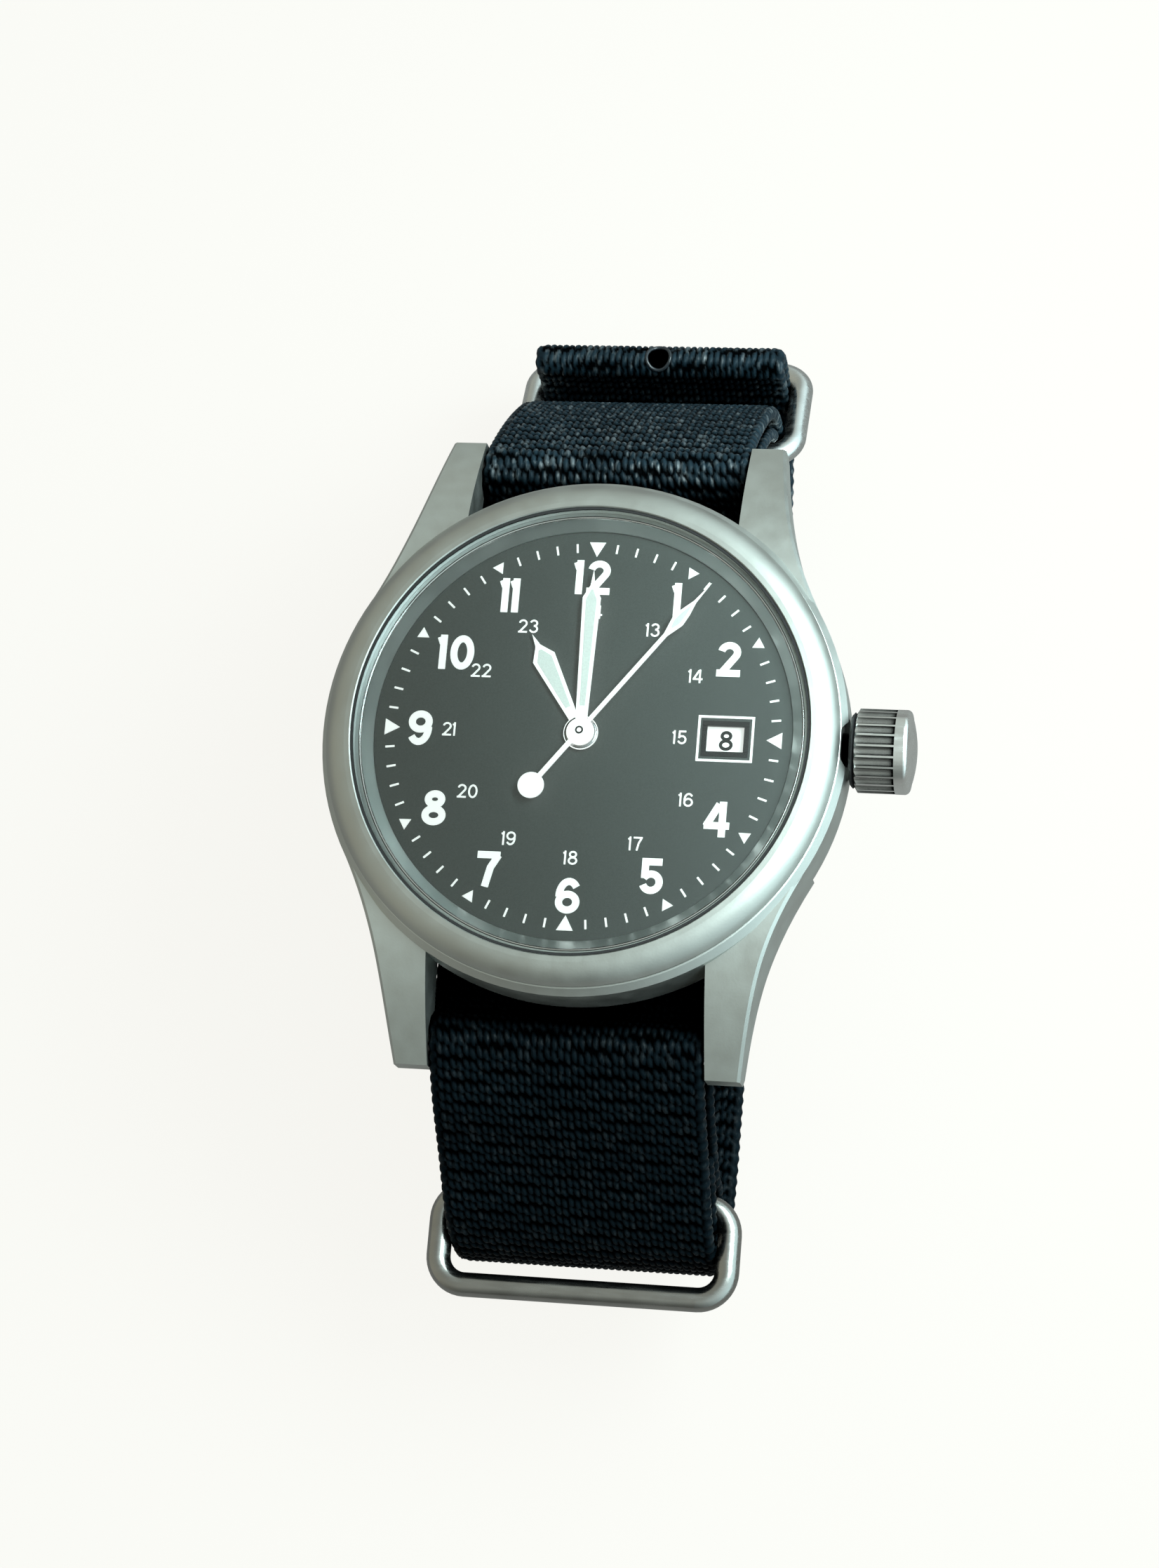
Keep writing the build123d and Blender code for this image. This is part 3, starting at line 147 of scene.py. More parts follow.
def value_range(tree, value, low, high, start=0.3, end=0.7):
    """Value remapped from start..end to low..high."""
    node = tree.nodes.new("ShaderNodeMapRange")
    node.inputs["From Min"].default_value = start
    node.inputs["From Max"].default_value = end
    node.inputs["To Min"].default_value = low
    node.inputs["To Max"].default_value = high
    tree.links.new(value, node.inputs["Value"])
    return node.outputs["Result"]


def colour_ramp(tree, value, *stops):
    """Colour read off stops of (position, colour)."""
    node = tree.nodes.new("ShaderNodeValToRGB")
    ramp = node.color_ramp
    while len(ramp.elements) < len(stops):
        ramp.elements.new(0.5)
    for element, (position, colour) in zip(ramp.elements, stops):
        element.position = position
        element.color = (*colour, 1)
    tree.links.new(value, node.inputs["Fac"])
    return node.outputs["Color"]


def add_bump(tree, surface, height, distance, strength=1.0):
    """Bump of the given depth in mm on a surface, over any bump already there."""
    node = tree.nodes.new("ShaderNodeBump")
    node.inputs["Strength"].default_value = strength
    node.inputs["Distance"].default_value = distance * MM
    tree.links.new(height, node.inputs["Height"])
    normal = surface.inputs["Normal"]
    if normal.is_linked:
        tree.links.new(normal.links[0].from_socket, node.inputs["Normal"])
    tree.links.new(node.outputs["Normal"], normal)


# ---------------------------------------------------------------- materials


def satin_steel(name, tint, grain=0.004, roughness=0.45):
    """Bead-blasted steel: fine even grain, slow changes of tone and slightly worn patches."""
    material, tree, surface = start_material(name, tint, 1.0, roughness)
    vector = object_coordinates(tree)
    tone = noise(tree, vector, 0.12, 3.0)
    dark = [channel * 0.9 for channel in tint]
    tree.links.new(colour_ramp(tree, tone, (0.3, dark), (0.7, tint)), surface.inputs["Base Color"])
    wear = noise(tree, vector, 0.6, 4.0)
    tree.links.new(value_range(tree, wear, roughness * 0.93, roughness * 1.15),
                   surface.inputs["Roughness"])
    add_bump(tree, surface, noise(tree, vector, 5.5, 2.0), grain)
    return material


def open_sky(tree, reach, low, high):
    """From 0 in hollows narrower than reach in mm to 1 on open faces."""
    hollow = tree.nodes.new("ShaderNodeAmbientOcclusion")
    hollow.inputs["Distance"].default_value = reach * MM
    return value_range(tree, hollow.outputs["AO"], 0, 1, low, high)


def multiply_values(tree, first, second):
    """Product of two value sockets."""
    node = tree.nodes.new("ShaderNodeMath")
    node.operation = "MULTIPLY"
    tree.links.new(first, node.inputs[0])
    tree.links.new(second, node.inputs[1])
    return node.outputs["Value"]


def multiply_colour(tree, colour, factor):
    """Colour socket multiplied by a value socket."""
    mix = tree.nodes.new("ShaderNodeMix")
    mix.data_type = "RGBA"
    mix.inputs["A"].default_value = (0, 0, 0, 1)
    tree.links.new(factor, mix.inputs["Factor"])
    tree.links.new(colour, mix.inputs["B"])
    return mix.outputs["Result"]


def polished_steel(name, tint, roughness=0.16, hollows=0.0):
    """Polished steel with faint wiping marks, and painted shade that darkens its colour in hollows
    of the given width in mm.
    """
    material, tree, surface = start_material(name, tint, 1.0, roughness)
    marks = noise(tree, object_coordinates(tree, (0.35, 3.0, 3.0)), 1.2, 4.0)
    tree.links.new(value_range(tree, marks, roughness * 0.8, roughness * 1.5),
                   surface.inputs["Roughness"])
    vector = object_coordinates(tree)
    add_bump(tree, surface, noise(tree, vector, 1.1, 3.0), 0.006)
    tone = noise(tree, vector, 0.4, 2.0)
    dark = [channel * 0.82 for channel in tint]
    colour = colour_ramp(tree, tone, (0.3, dark), (0.7, tint))
    # Painted shade: ambient occlusion darkens the colour in hollows.
    if hollows:
        colour = multiply_colour(tree, colour, open_sky(tree, hollows, 0.70, 0.96))
    tree.links.new(colour, surface.inputs["Base Color"])
    return material


def plated_brass(name, tint, roughness, stripes):
    """Movement metal with turned stripes of the given pitch in mm."""
    material, tree, surface = start_material(name, tint, 1.0, roughness)
    wave = tree.nodes.new("ShaderNodeTexWave")
    wave.inputs["Scale"].default_value = 1 / stripes
    wave.inputs["Distortion"].default_value = 1.5
    wave.inputs["Detail"].default_value = 2.0
    tree.links.new(object_coordinates(tree, (0.3, 0.3, 0.3)), wave.inputs["Vector"])
    tree.links.new(value_range(tree, wave.outputs["Fac"], roughness * 0.8, roughness * 1.3, 0, 1),
                   surface.inputs["Roughness"])
    add_bump(tree, surface, wave.outputs["Fac"], 0.004)
    return material


def clear_glass(name):
    """Thin clear crystal: mostly see-through, with reflections that grow at its edge."""
    material, tree, surface = start_material(name, (1, 1, 1))
    tree.nodes.remove(surface)
    see_through = tree.nodes.new("ShaderNodeBsdfTransparent")
    see_through.inputs["Color"].default_value = (0.97, 0.985, 0.98, 1)
    glossy = tree.nodes.new("ShaderNodeBsdfGlossy")
    smudges = noise(tree, object_coordinates(tree), 0.35, 4.0)
    tree.links.new(value_range(tree, smudges, 0.03, 0.09), glossy.inputs["Roughness"])
    fresnel = tree.nodes.new("ShaderNodeFresnel")
    fresnel.inputs["IOR"].default_value = 1.45
    mix = tree.nodes.new("ShaderNodeMixShader")
    tree.links.new(fresnel.outputs["Fac"], mix.inputs["Fac"])
    tree.links.new(see_through.outputs["BSDF"], mix.inputs[1])
    tree.links.new(glossy.outputs["BSDF"], mix.inputs[2])
    tree.links.new(mix.outputs["Shader"], tree.nodes["Material Output"].inputs["Surface"])
    return material


def seal_rubber(name):
    """Matte black rubber with a fine moulded grain."""
    material, tree, surface = start_material(name, (0.012, 0.012, 0.013), 0.0, 0.6)
    vector = object_coordinates(tree)
    grain = noise(tree, vector, 6.0, 3.0)
    tree.links.new(value_range(tree, grain, 0.5, 0.8), surface.inputs["Roughness"])
    add_bump(tree, surface, grain, 0.01)
    return material


def matte_paint(name, colour, roughness, grain, spread=0.9, painted_glow=0.0):
    """Flat paint with a fine grain in colour and surface, and an emission glow that paints extra
    light onto it.
    """
    material, tree, surface = start_material(name, colour, 0.0, roughness)
    vector = object_coordinates(tree)
    speckle = noise(tree, vector, 7.0, 3.0)
    dark = [channel * spread for channel in colour]
    tree.links.new(colour_ramp(tree, speckle, (0.35, dark), (0.65, colour)),
                   surface.inputs["Base Color"])
    tree.links.new(value_range(tree, noise(tree, vector, 1.0), roughness * 0.92, roughness),
                   surface.inputs["Roughness"])
    add_bump(tree, surface, speckle, grain)
    # Painted light: emission brightens the paint beyond what the lamps give.
    surface.inputs["Emission Color"].default_value = (*colour, 1)
    surface.inputs["Emission Strength"].default_value = painted_glow
    return material


def ruby(name):
    """Polished synthetic ruby."""
    material, tree, surface = start_material(name, (0.5, 0.01, 0.05), 0.0, 0.05)
    cloud = noise(tree, object_coordinates(tree), 2.0, 2.0)
    tree.links.new(colour_ramp(tree, cloud, (0.3, (0.38, 0.005, 0.03)), (0.7, (0.6, 0.02, 0.08))),
                   surface.inputs["Base Color"])
    surface.inputs["Coat Weight"].default_value = 0.6
    return material


def nylon(name, lit, pale):
    """Woven nylon with painted light and shade: painted shade between the yarns and under the case,
    painted light towards the twelve side, and painted glints on some fibres.
    """
    material, tree, surface = start_material(name, lit, 0.0, 0.5)
    relief = tree.nodes.new("ShaderNodeAttribute")
    relief.attribute_name = "relief"
    patches = noise(tree, attribute_vector(tree, "weave"), 0.35, 4.0)
    faded = [channel * 0.6 for channel in lit]
    worn = colour_ramp(tree, patches, (0.3, faded), (0.7, lit))
    # Painted shade between the yarns: the colour falls towards the bottoms of the yarn relief.
    height = value_range(tree, relief.outputs["Fac"], 0.03, 1, 0.05, 0.9)
    # Painted shade under the case and in folds, from ambient occlusion.
    sky = open_sky(tree, 5.0, 0.3, 0.85)
    split = tree.nodes.new("ShaderNodeSeparateXYZ")
    tree.links.new(object_coordinates(tree), split.inputs["Vector"])
    # Painted light: the colour grows brighter towards the twelve side and darker towards the six
    # side.
    side = value_range(tree, split.outputs["Y"], 0.3, 1.0, 0, 20)
    light = multiply_values(tree, multiply_values(tree, height, sky), side)
    fibres = noise(tree, attribute_vector(tree, "weave", (9.0, 1.2, 1.0)), 2.0, 3.0)
    tree.links.new(value_range(tree, fibres, 0.45, 0.28), surface.inputs["Roughness"])
    add_bump(tree, surface, fibres, 0.04)
    # Painted glints: sparse spots of the pale colour, mostly on the twelve side.
    spots = noise(tree, attribute_vector(tree, "weave", (2.2, 1.2, 1.0)), 1.0, 2.0)
    glint = multiply_values(tree, value_range(tree, spots, 0, 1, 0.53, 0.68), side)
    mix = tree.nodes.new("ShaderNodeMix")
    mix.data_type = "RGBA"
    tree.links.new(glint, mix.inputs["Factor"])
    tree.links.new(worn, mix.inputs["A"])
    mix.inputs["B"].default_value = (*pale, 1)
    # The painted light and shade multiply the colour.
    tree.links.new(multiply_colour(tree, mix.outputs["Result"], light),
                   surface.inputs["Base Color"])
    shine = multiply_values(tree, value_range(tree, glint, 0.12, 1.0, 0, 1), light)
    tree.links.new(shine, surface.inputs["Specular IOR Level"])
    return material


STEEL = satin_steel("satin_steel", (0.62, 0.65, 0.62), 0.004, 0.40)
BEZEL_STEEL = satin_steel("bezel_steel", (0.54, 0.56, 0.53), 0.004, 0.42)
RING_STEEL = polished_steel("ring_steel", (0.42, 0.42, 0.40), 0.2)
# Keepers: the same polished steel as the rings with a brighter tint, painted light for the
# highlights that fall on them.
LIT_KEEPER_STEEL = polished_steel("keeper_steel_painted_light", (0.78, 0.81, 0.80), 0.25)
# Crown steel with painted shade darkening the grooves of its flutes.
CROWN_STEEL = polished_steel("crown_steel", (0.95, 0.97, 0.95), 0.2, 1.0)
# Tube steel painted nearly black, with painted shade in its hollows, standing in for the shadow in
# the gap between crown and case.
PAINTED_DARK_TUBE_STEEL = polished_steel("tube_steel_painted_shade", (0.10, 0.10, 0.10), 0.3, 2.0)
INNER_STEEL = polished_steel("inner_steel", (0.55, 0.55, 0.56))
REHAUT_STEEL = satin_steel("rehaut_steel", (0.80, 0.86, 0.85), 0.0001, 0.34)
GLINT_STEEL = polished_steel("glint_steel", (0.95, 0.97, 0.97), 0.08)
PLATED = plated_brass("plated_brass", (0.62, 0.60, 0.54), 0.3, 0.6)
BRASS = plated_brass("wheel_brass", (0.75, 0.58, 0.28), 0.22, 0.2)
GLASS = clear_glass("crystal_glass")
RUBBER = seal_rubber("seal_rubber")
DIAL_PAINT = matte_paint("dial_paint", (0.090, 0.100, 0.095), 0.62, 0.006, 0.85)
# White print and hands with painted light from an emission glow.
WHITE_PAINT = matte_paint("white_paint", (0.90, 0.91, 0.89), 0.45, 0.002, 0.97, 0.7)
BLACK_PRINT = matte_paint("black_print", (0.02, 0.02, 0.02), 0.5, 0.002)
# Lume with painted light from an emission glow.
LUME = matte_paint("lume_paint", (0.70, 0.78, 0.74), 0.7, 0.012, 0.9, 0.42)
RUBY = ruby("ruby")
# The second colour is the painted glint colour of the webbing.
NYLON = nylon("nylon_webbing", (0.012, 0.029, 0.042), (0.06, 0.085, 0.10))
HOLE_EDGE = matte_paint("melted_nylon", (0.02, 0.026, 0.032), 0.18, 0.01, 0.7)

NODE_LOOKS = {
    STEEL: ("mid_case", "caseback"),
    BEZEL_STEEL: ("bezel",),
    REHAUT_STEEL: ("rehaut_ring",),
    RING_STEEL: ("flap_ring", "buckle_frame", "buckle_bar", "buckle_tang"),
    LIT_KEEPER_STEEL: ("keeper_upper", "keeper_lower"),
    CROWN_STEEL: ("crown",),
    PAINTED_DARK_TUBE_STEEL: ("case_tube",),
    INNER_STEEL: ("stem", "spring_bar_12", "spring_bar_6", "winding_pinion", "sliding_pinion",
                  "setting_lever", "ratchet_wheel", "crown_wheel", "click", "barrel_arbor",
                  "mainspring", "pallet_fork", "hairspring", "cannon_pinion", "bridge_screws"),
    PLATED: ("mainplate", "barrel_bridge", "train_bridge", "balance_cock", "pallet_bridge",
             "movement_ring"),
    BRASS: ("barrel", "centre_wheel", "third_wheel", "fourth_wheel", "escape_wheel",
            "balance_wheel", "minute_wheel", "hour_wheel"),
    GLASS: ("crystal",),
    RUBBER: ("crystal_gasket", "caseback_gasket", "crown_gasket"),
    DIAL_PAINT: ("dial",),
    WHITE_PAINT: ("date_ring", "hour_hand", "minute_hand", "seconds_hand"),
    RUBY: ("jewels",),
}

for look, node_names in NODE_LOOKS.items():
    for node_name in node_names:
        node = frame["nodes"][node_name]
        node.data.materials.clear()
        node.data.materials.append(look)

# ---------------------------------------------------------------- mesh helpers

CORNER_SIGNS = ((-1, -1), (1, -1), (1, 1), (-1, 1))
EDGE_SHOULDER = 0.3
DIGIT_W = 0.7
ONE_W = 0.2
DIGIT_GAP = 0.1
STROKE_RISE = 0.001
SHARP_ANGLE = math.radians(50)


def add_piece(name, mesh, material, body, replaced=()):
    """Turn a mesh in mm into a piece that rides on a body."""
    mesh.transform(Matrix.Scale(MM, 4))
    mesh.materials.append(material)
    piece = bpy.data.objects.new(name, mesh)
    bpy.context.scene.collection.objects.link(piece)
    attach(piece, body)
    if replaced:
        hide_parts(*replaced)
    return piece


def turned(points, angle, shift=(0, 0)):
    """Points moved by shift after a turn about the origin, in degrees."""
    cosine = math.cos(math.radians(angle))
    sine = math.sin(math.radians(angle))
    return [(x * cosine - y * sine + shift[0], x * sine + y * cosine + shift[1])
            for x, y in points]


def inset(points, distance):
    """Closed anticlockwise outline moved inwards by a distance."""
    moved = []
    for index, point in enumerate(points):
        before = Vector(points[index - 1])
        here = Vector(point)
        after = Vector(points[(index + 1) % len(points)])
        first = (here - before).normalized()
        second = (after - here).normalized()
        normal = Vector((-first.y - second.y, first.x + second.x))
        miter = 1 + first.dot(second)
        moved.append(tuple(here + normal * distance / max(miter, 0.3)))
    return moved


def add_plate(bm, outline, low, high, edge):
    """Solid plate between two heights whose upper edge is rounded off in two steps."""
    shoulder = edge * EDGE_SHOULDER
    levels = ((outline, low), (outline, high - edge), (inset(outline, shoulder), high - shoulder),
              (inset(outline, edge), high))
    rings = [[bm.verts.new((x, y, z)) for x, y in points] for points, z in levels]
    for lower, upper in zip(rings, rings[1:]):
        for index in range(len(lower)):
            bm.faces.new((lower[index - 1], lower[index], upper[index], upper[index - 1]))
    bm.faces.new(rings[-1])
    bm.faces.new(list(reversed(rings[0])))


def finished_mesh(name, bm):
    """Mesh from an open bmesh, with its normals facing out."""
    bmesh.ops.recalc_face_normals(bm, faces=bm.faces)
    mesh = bpy.data.meshes.new(name)
    bm.to_mesh(mesh)
    bm.free()
    return mesh


def bow(x, y, wide, high, start, end):
    """Points on an elliptic arc, angles in degrees."""
    count = max(4, int(abs(end - start) / 12))
    angles = [math.radians(start + (end - start) * i / count) for i in range(count + 1)]
    return [(x + wide * math.cos(a), y + high * math.sin(a)) for a in angles]


def digit_strokes(stroke):
    """Middle lines of the ten digits in a box one unit high, for a stroke of that width."""
    s = stroke / 2
    top = 1 - s
    six = bow(0.36, 0.32, 0.34 - s, 0.32 - s, 180, -180)
    six_stem = bow(0.38, 0.5, 0.36 - s, 0.5 - s, 38, 185)
    return {
        "0": [bow(0.35, 0.5, 0.34 - s, 0.5 - s, 0, 360)],
        "1": [[(0.1, 0), (0.1, 1)], [(0.1, 0.87), (-0.05, 0.81)]],
        "2": [bow(0.35, 0.7, 0.32 - s, 0.3 - s, 170, -32) + [(0.06 + s, s)],
              [(0.02, s), (0.68, s)]],
        "3": [bow(0.34, 0.735, 0.3 - s, 0.265 - s, 165, -90),
              bow(0.34, 0.3, 0.33 - s, 0.3 - s, 90, -165)],
        "4": [[(0.5, 0), (0.5, 1)], [(0.5 - s, 0.93), (0.06, 0.3)],
              [(0.0, 0.22 + s), (0.7, 0.22 + s)]],
        "5": [[(0.12, top), (0.62, top)], [(0.16, 1), (0.1 + s * 0.6, 0.44)],
              bow(0.34, 0.33, 0.33 - s, 0.33 - s, 152, -160)],
        "6": [six, six_stem],
        "7": [[(0.03, top), (0.67, top)], [(0.62, top), (0.42, 0.55), (0.3, 0)]],
        "8": [bow(0.35, 0.745, 0.29 - s, 0.255 - s, 0, 360),
              bow(0.35, 0.29, 0.34 - s, 0.29 - s, 0, 360)],
        "9": [[(0.7 - x, 1 - y) for x, y in line] for line in (six, six_stem)],
    }


def add_stroke(bm, points, width, low, high):
    """Flat stroke of even width along a line, between two heights."""
    closed = math.dist(points[0], points[-1]) < 1e-6
    line = [Vector(point) for point in (points[:-1] if closed else points)]
    count = len(line)
    edges = ([], [])
    for index, here in enumerate(line):
        before = line[index - 1] if closed or index else here
        after = line[(index + 1) % count] if closed or index < count - 1 else here
        first = (here - before).normalized() if here != before else (after - here).normalized()
        second = (after - here).normalized() if after != here else first
        normal = Vector((-first.y - second.y, first.x + second.x))
        offset = normal * width / 2 / max(1 + first.dot(second), 0.5)
        edges[0].append(here + offset)
        edges[1].append(here - offset)
    rings = [[bm.verts.new((p.x, p.y, z)) for p in edge] for edge, z in
             ((edges[0], low), (edges[0], high), (edges[1], high), (edges[1], low))]
    spans = range(count) if closed else range(1, count)
    for index in spans:
        for k in range(4):
            near, far = rings[k - 1], rings[k]
            bm.faces.new((near[index - 1], near[index], far[index], far[index - 1]))
    if not closed:
        bm.faces.new([ring[0] for ring in rings])
        bm.faces.new([ring[-1] for ring in reversed(rings)])


def add_number(bm, text, height, stroke, place, angle, low, high):
    """Number of plain bold digits, centred on place and turned by angle in degrees."""
    glyphs = digit_strokes(stroke)
    widths = [ONE_W if digit == "1" else DIGIT_W for digit in text]
    start = -(sum(widths) + DIGIT_GAP * (len(text) - 1)) / 2
    for digit, wide in zip(text, widths):
        for level, line in enumerate(glyphs[digit]):
            flat = [((x + start) * height, (y - 0.5) * height) for x, y in line]
            rise = level * STROKE_RISE
            add_stroke(bm, turned(flat, angle, place), stroke * height, low, high + rise)
        start += wide + DIGIT_GAP


# ---------------------------------------------------------------- dial printing

HOUR_R = {1: 11.75, 2: 11.75, 4: 11.75, 5: 11.75, 6: 11.85, 7: 11.75, 8: 11.75, 9: 11.75,
          10: 11.5, 11: 11.75, 12: 11.7}
HOUR_SHIFT = {1: 0.25, 10: 0.35, 11: -0.2, 12: -0.1}
HOUR_H = 2.58
HOUR_STROKE = 0.2
SMALL_R = {13: 9.1, 14: 9.1, 15: 7.1, 16: 9.1, 17: 9.1, 18: 9.1, 19: 9.1, 20: 9.1, 21: 9.65,
           22: 8.9, 23: 9.1, 24: 9.1}
SMALL_H = 1.0
SMALL_STROKE = 0.13
TICK_R = 13.94
TICK_SIZE = (0.15, 0.68)
HAIR_EDGE = 0.02
QUARTER_TRIANGLE = (1.2, 1.1)
HOUR_TRIANGLE = (0.88, 0.78)
TRIANGLE_OUT = 0.42
TRIANGLE_T = 0.06
TRIANGLE_EDGE = 0.03
DATE_X = 10.33
DATE_FRAME = (3.85, 3.2, 0.18)
DATE_SHADE = (3.0, 2.25, 0.38)
DATE_COUNT = 31
DATE_SHOWN = 8
DATE_H = 1.45
DATE_STROKE = 0.16


def clock_place(hour, radius):
    """Point on the dial at an hour."""
    angle = math.radians(90 - 30 * hour)
    return radius * math.cos(angle), radius * math.sin(angle)


def dial_numerals():
    """Large white hour numbers."""
    bm = bmesh.new()
    for hour, radius in HOUR_R.items():
        x, y = clock_place(hour, radius)
        place = (x + HOUR_SHIFT.get(hour, 0), y)
        add_number(bm, str(hour), HOUR_H, HOUR_STROKE, place, 0, DIAL_TOP, DIAL_TOP + PRINT_T)
    add_piece("dial_hour_numbers", finished_mesh("dial_hour_numbers", bm), WHITE_PAINT, "case")


def dial_small_numerals():
    """Small numbers of the second half of the day."""
    bm = bmesh.new()
    for hour, radius in SMALL_R.items():
        add_number(bm, str(hour), SMALL_H, SMALL_STROKE, clock_place(hour - 12, radius), 0,
                   DIAL_TOP, DIAL_TOP + PRINT_T)
    add_piece("dial_day_numbers", finished_mesh("dial_day_numbers", bm), WHITE_PAINT, "case")


def dial_ticks():
    """Minute ticks between the hour marks."""
    bm = bmesh.new()
    half_w = TICK_SIZE[0] / 2
    half_l = TICK_SIZE[1] / 2
    tick = [(sx * half_w, sy * half_l) for sx, sy in CORNER_SIGNS]
    for minute in range(60):
        if minute % 5:
            placed = turned([(x, y + TICK_R) for x, y in tick], -6 * minute)
            add_plate(bm, placed, DIAL_TOP, DIAL_TOP + PRINT_T, HAIR_EDGE)
    add_piece("dial_minute_ticks", finished_mesh("dial_minute_ticks", bm), WHITE_PAINT, "case")


def dial_triangles():
    """Luminous triangles at the hours, pointing inwards."""
    bm = bmesh.new()
    for hour in range(12):
        wide, deep = HOUR_TRIANGLE if hour % 3 else QUARTER_TRIANGLE
        outer = TICK_R + TRIANGLE_OUT
        corners = [(-wide / 2, outer), (0, outer - deep), (wide / 2, outer)]
        add_plate(bm, turned(corners, -30 * hour), DIAL_TOP, DIAL_TOP + TRIANGLE_T,
                  TRIANGLE_EDGE)
    add_piece("dial_hour_triangles", finished_mesh("dial_hour_triangles", bm), WHITE_PAINT, "case")


def frame_piece(name, size, material):
    """Flat frame of the given width, height and line round the date window."""
    wide, tall, line = size
    bm = bmesh.new()
    bars = ((0, tall / 2, wide + line, line), (0, -tall / 2, wide + line, line),
            (wide / 2, 0, line, tall - line), (-wide / 2, 0, line, tall - line))
    for x, y, bar_w, bar_h in bars:
        corners = [(DATE_X + x + sx * bar_w / 2, y + sy * bar_h / 2)
                   for sx, sy in CORNER_SIGNS]
        add_plate(bm, corners, DIAL_TOP, DIAL_TOP + PRINT_T, HAIR_EDGE)
    add_piece(name, finished_mesh(name, bm), material, "case")


def date_numbers():
    """Days of the month round the date ring, with one of them in the window."""
    bm = bmesh.new()
    for day in range(1, DATE_COUNT + 1):
        angle = (day - DATE_SHOWN) * 360 / DATE_COUNT
        place = (DATE_X * math.cos(math.radians(angle)), DATE_X * math.sin(math.radians(angle)))
        add_number(bm, str(day), DATE_H, DATE_STROKE, place, angle, DATE_TOP,
                   DATE_TOP + PRINT_T)
    add_piece("date_numbers", finished_mesh("date_numbers", bm), BLACK_PRINT, "date_ring")


dial_numerals()
dial_small_numerals()
dial_ticks()
dial_triangles()
frame_piece("date_window_line", DATE_FRAME, WHITE_PAINT)
frame_piece("date_window_shade", DATE_SHADE, BLACK_PRINT)
date_numbers()

# ---------------------------------------------------------------- hands

EDGE_GLINT_R = 15.95
EDGE_GLINT_Z = 7.56
EDGE_GLINT_WIRE = 0.12
CROWN_BOX = node_box("crown")
CROWN_Z = (CROWN_BOX[0].z + CROWN_BOX[1].z) / 2
SINK = 0.01
LUME_RISE = 0.04
LUME_EDGE = 0.03
HOUR_COLLAR = (0.97, 1.12, 1.2, 0.06)
PIVOT_RING = (0.17, 0.27, 0.3, 0.03)
RING_SIDES = 128
WIRE_SIDES = 12
HAND_LUME = (
    ("hour_hand_lume", "hour", HOUR_ANGLE, HOUR_TOP, ((2.1, 0.2), (6.15, 0.58), (6.95, 0.1))),
    ("minute_hand_lume", "minute", MINUTE_ANGLE, MINUTE_TOP,
     ((1.9, 0.2), (9.85, 0.4), (10.6, 0.07))),
    ("seconds_hand_lume", "seconds", SECONDS_ANGLE, SECONDS_LOW.z + SECONDS_T,
     ((9.9, 0.06), (10.45, 0.24), (11.2, 0.18), (12.0, 0.04))),
)


def hand_lume(name, body, angle, top, stations):
    """Luminous fill that stands a little proud of a hand's frame."""
    right = [(half, y) for y, half in stations]
    left = [(-half, y) for y, half in reversed(stations)]
    bm = bmesh.new()
    add_plate(bm, turned(right + left, angle), top - SINK, top + LUME_RISE, LUME_EDGE)
    add_piece(name, finished_mesh(name, bm), LUME, body)


def add_lathe(bm, profile, count, axis, centre):
    """Closed ring turned from a profile of (radius, height) about an axis."""
    rings = []
    for i in range(count):
        c, s = math.cos(math.tau * i / count), math.sin(math.tau * i / count)
        if axis == "Z":
            places = [(r * c, r * s, h) for r, h in profile]
        else:
            places = [(h, r * c, r * s) for r, h in profile]
        rings.append([bm.verts.new(Vector(place) + Vector(centre)) for place in places])
    for i in range(count):
        for k in range(len(profile)):
            bm.faces.new((rings[i - 1][k - 1], rings[i - 1][k], rings[i][k], rings[i][k - 1]))


def ring_piece(name, profile, material, body, axis="Z", centre=(0, 0, 0), replaced=()):
    """Smooth turned ring as a piece."""
    bm = bmesh.new()
    add_lathe(bm, profile, RING_SIDES, axis, centre)
    mesh = finished_mesh(name, bm)
    mesh.polygons.foreach_set("use_smooth", [True] * len(mesh.polygons))
    mesh.set_sharp_from_angle(angle=SHARP_ANGLE)
    add_piece(name, mesh, material, body, replaced)


def round_profile(radius, height, wire):
    """Profile of a round wire at a radius and height."""
    angles = [math.tau * i / WIRE_SIDES for i in range(WIRE_SIDES)]
    return [(radius + wire * math.cos(a), height + wire * math.sin(a)) for a in angles]


def collar_profile(top, inner, crest, foot, rise):
    """Profile of a low collar that stands on a height, from its bore to its sloped foot."""
    return [(inner, top - SINK), (inner, top + rise), (crest, top + rise), (foot, top - SINK)]


def hand_hubs():
    """Grey collar round the hour hub and dark ring round the seconds pivot."""
    ring_piece("hour_hub_collar", collar_profile(HOUR_TOP, *HOUR_COLLAR), INNER_STEEL, "hour")
    ring_piece("seconds_pivot_ring", collar_profile(SECONDS_HIGH.z, *PIVOT_RING), RUBBER,
               "seconds")


def case_rings():
    """Bright edge between the sloped ring and the crystal, and the black rubber seal seen behind
    the crown, made wide enough to stand in for the shade in the gap between crown and case.
    """
    ring_piece("crystal_edge_glint", round_profile(EDGE_GLINT_R, EDGE_GLINT_Z, EDGE_GLINT_WIRE),
               GLINT_STEEL, "case")
    low = node_box("crown")[0].x
    # Seal partly real and partly painted shade: its black rim is widened to darken the gap beside
    # the crown.
    ring_piece("crown_seal_and_gap_shade", [(1.0, low + 0.3), (2.55, low + 0.02), (2.7, low - 0.12),
                              (2.5, low - 0.3), (1.0, low - 0.3)],
               RUBBER, "crown", "X", (0, 0, CROWN_Z), ("crown_gasket",))


for lume_row in HAND_LUME:
    hand_lume(*lume_row)
hand_hubs()
case_rings()

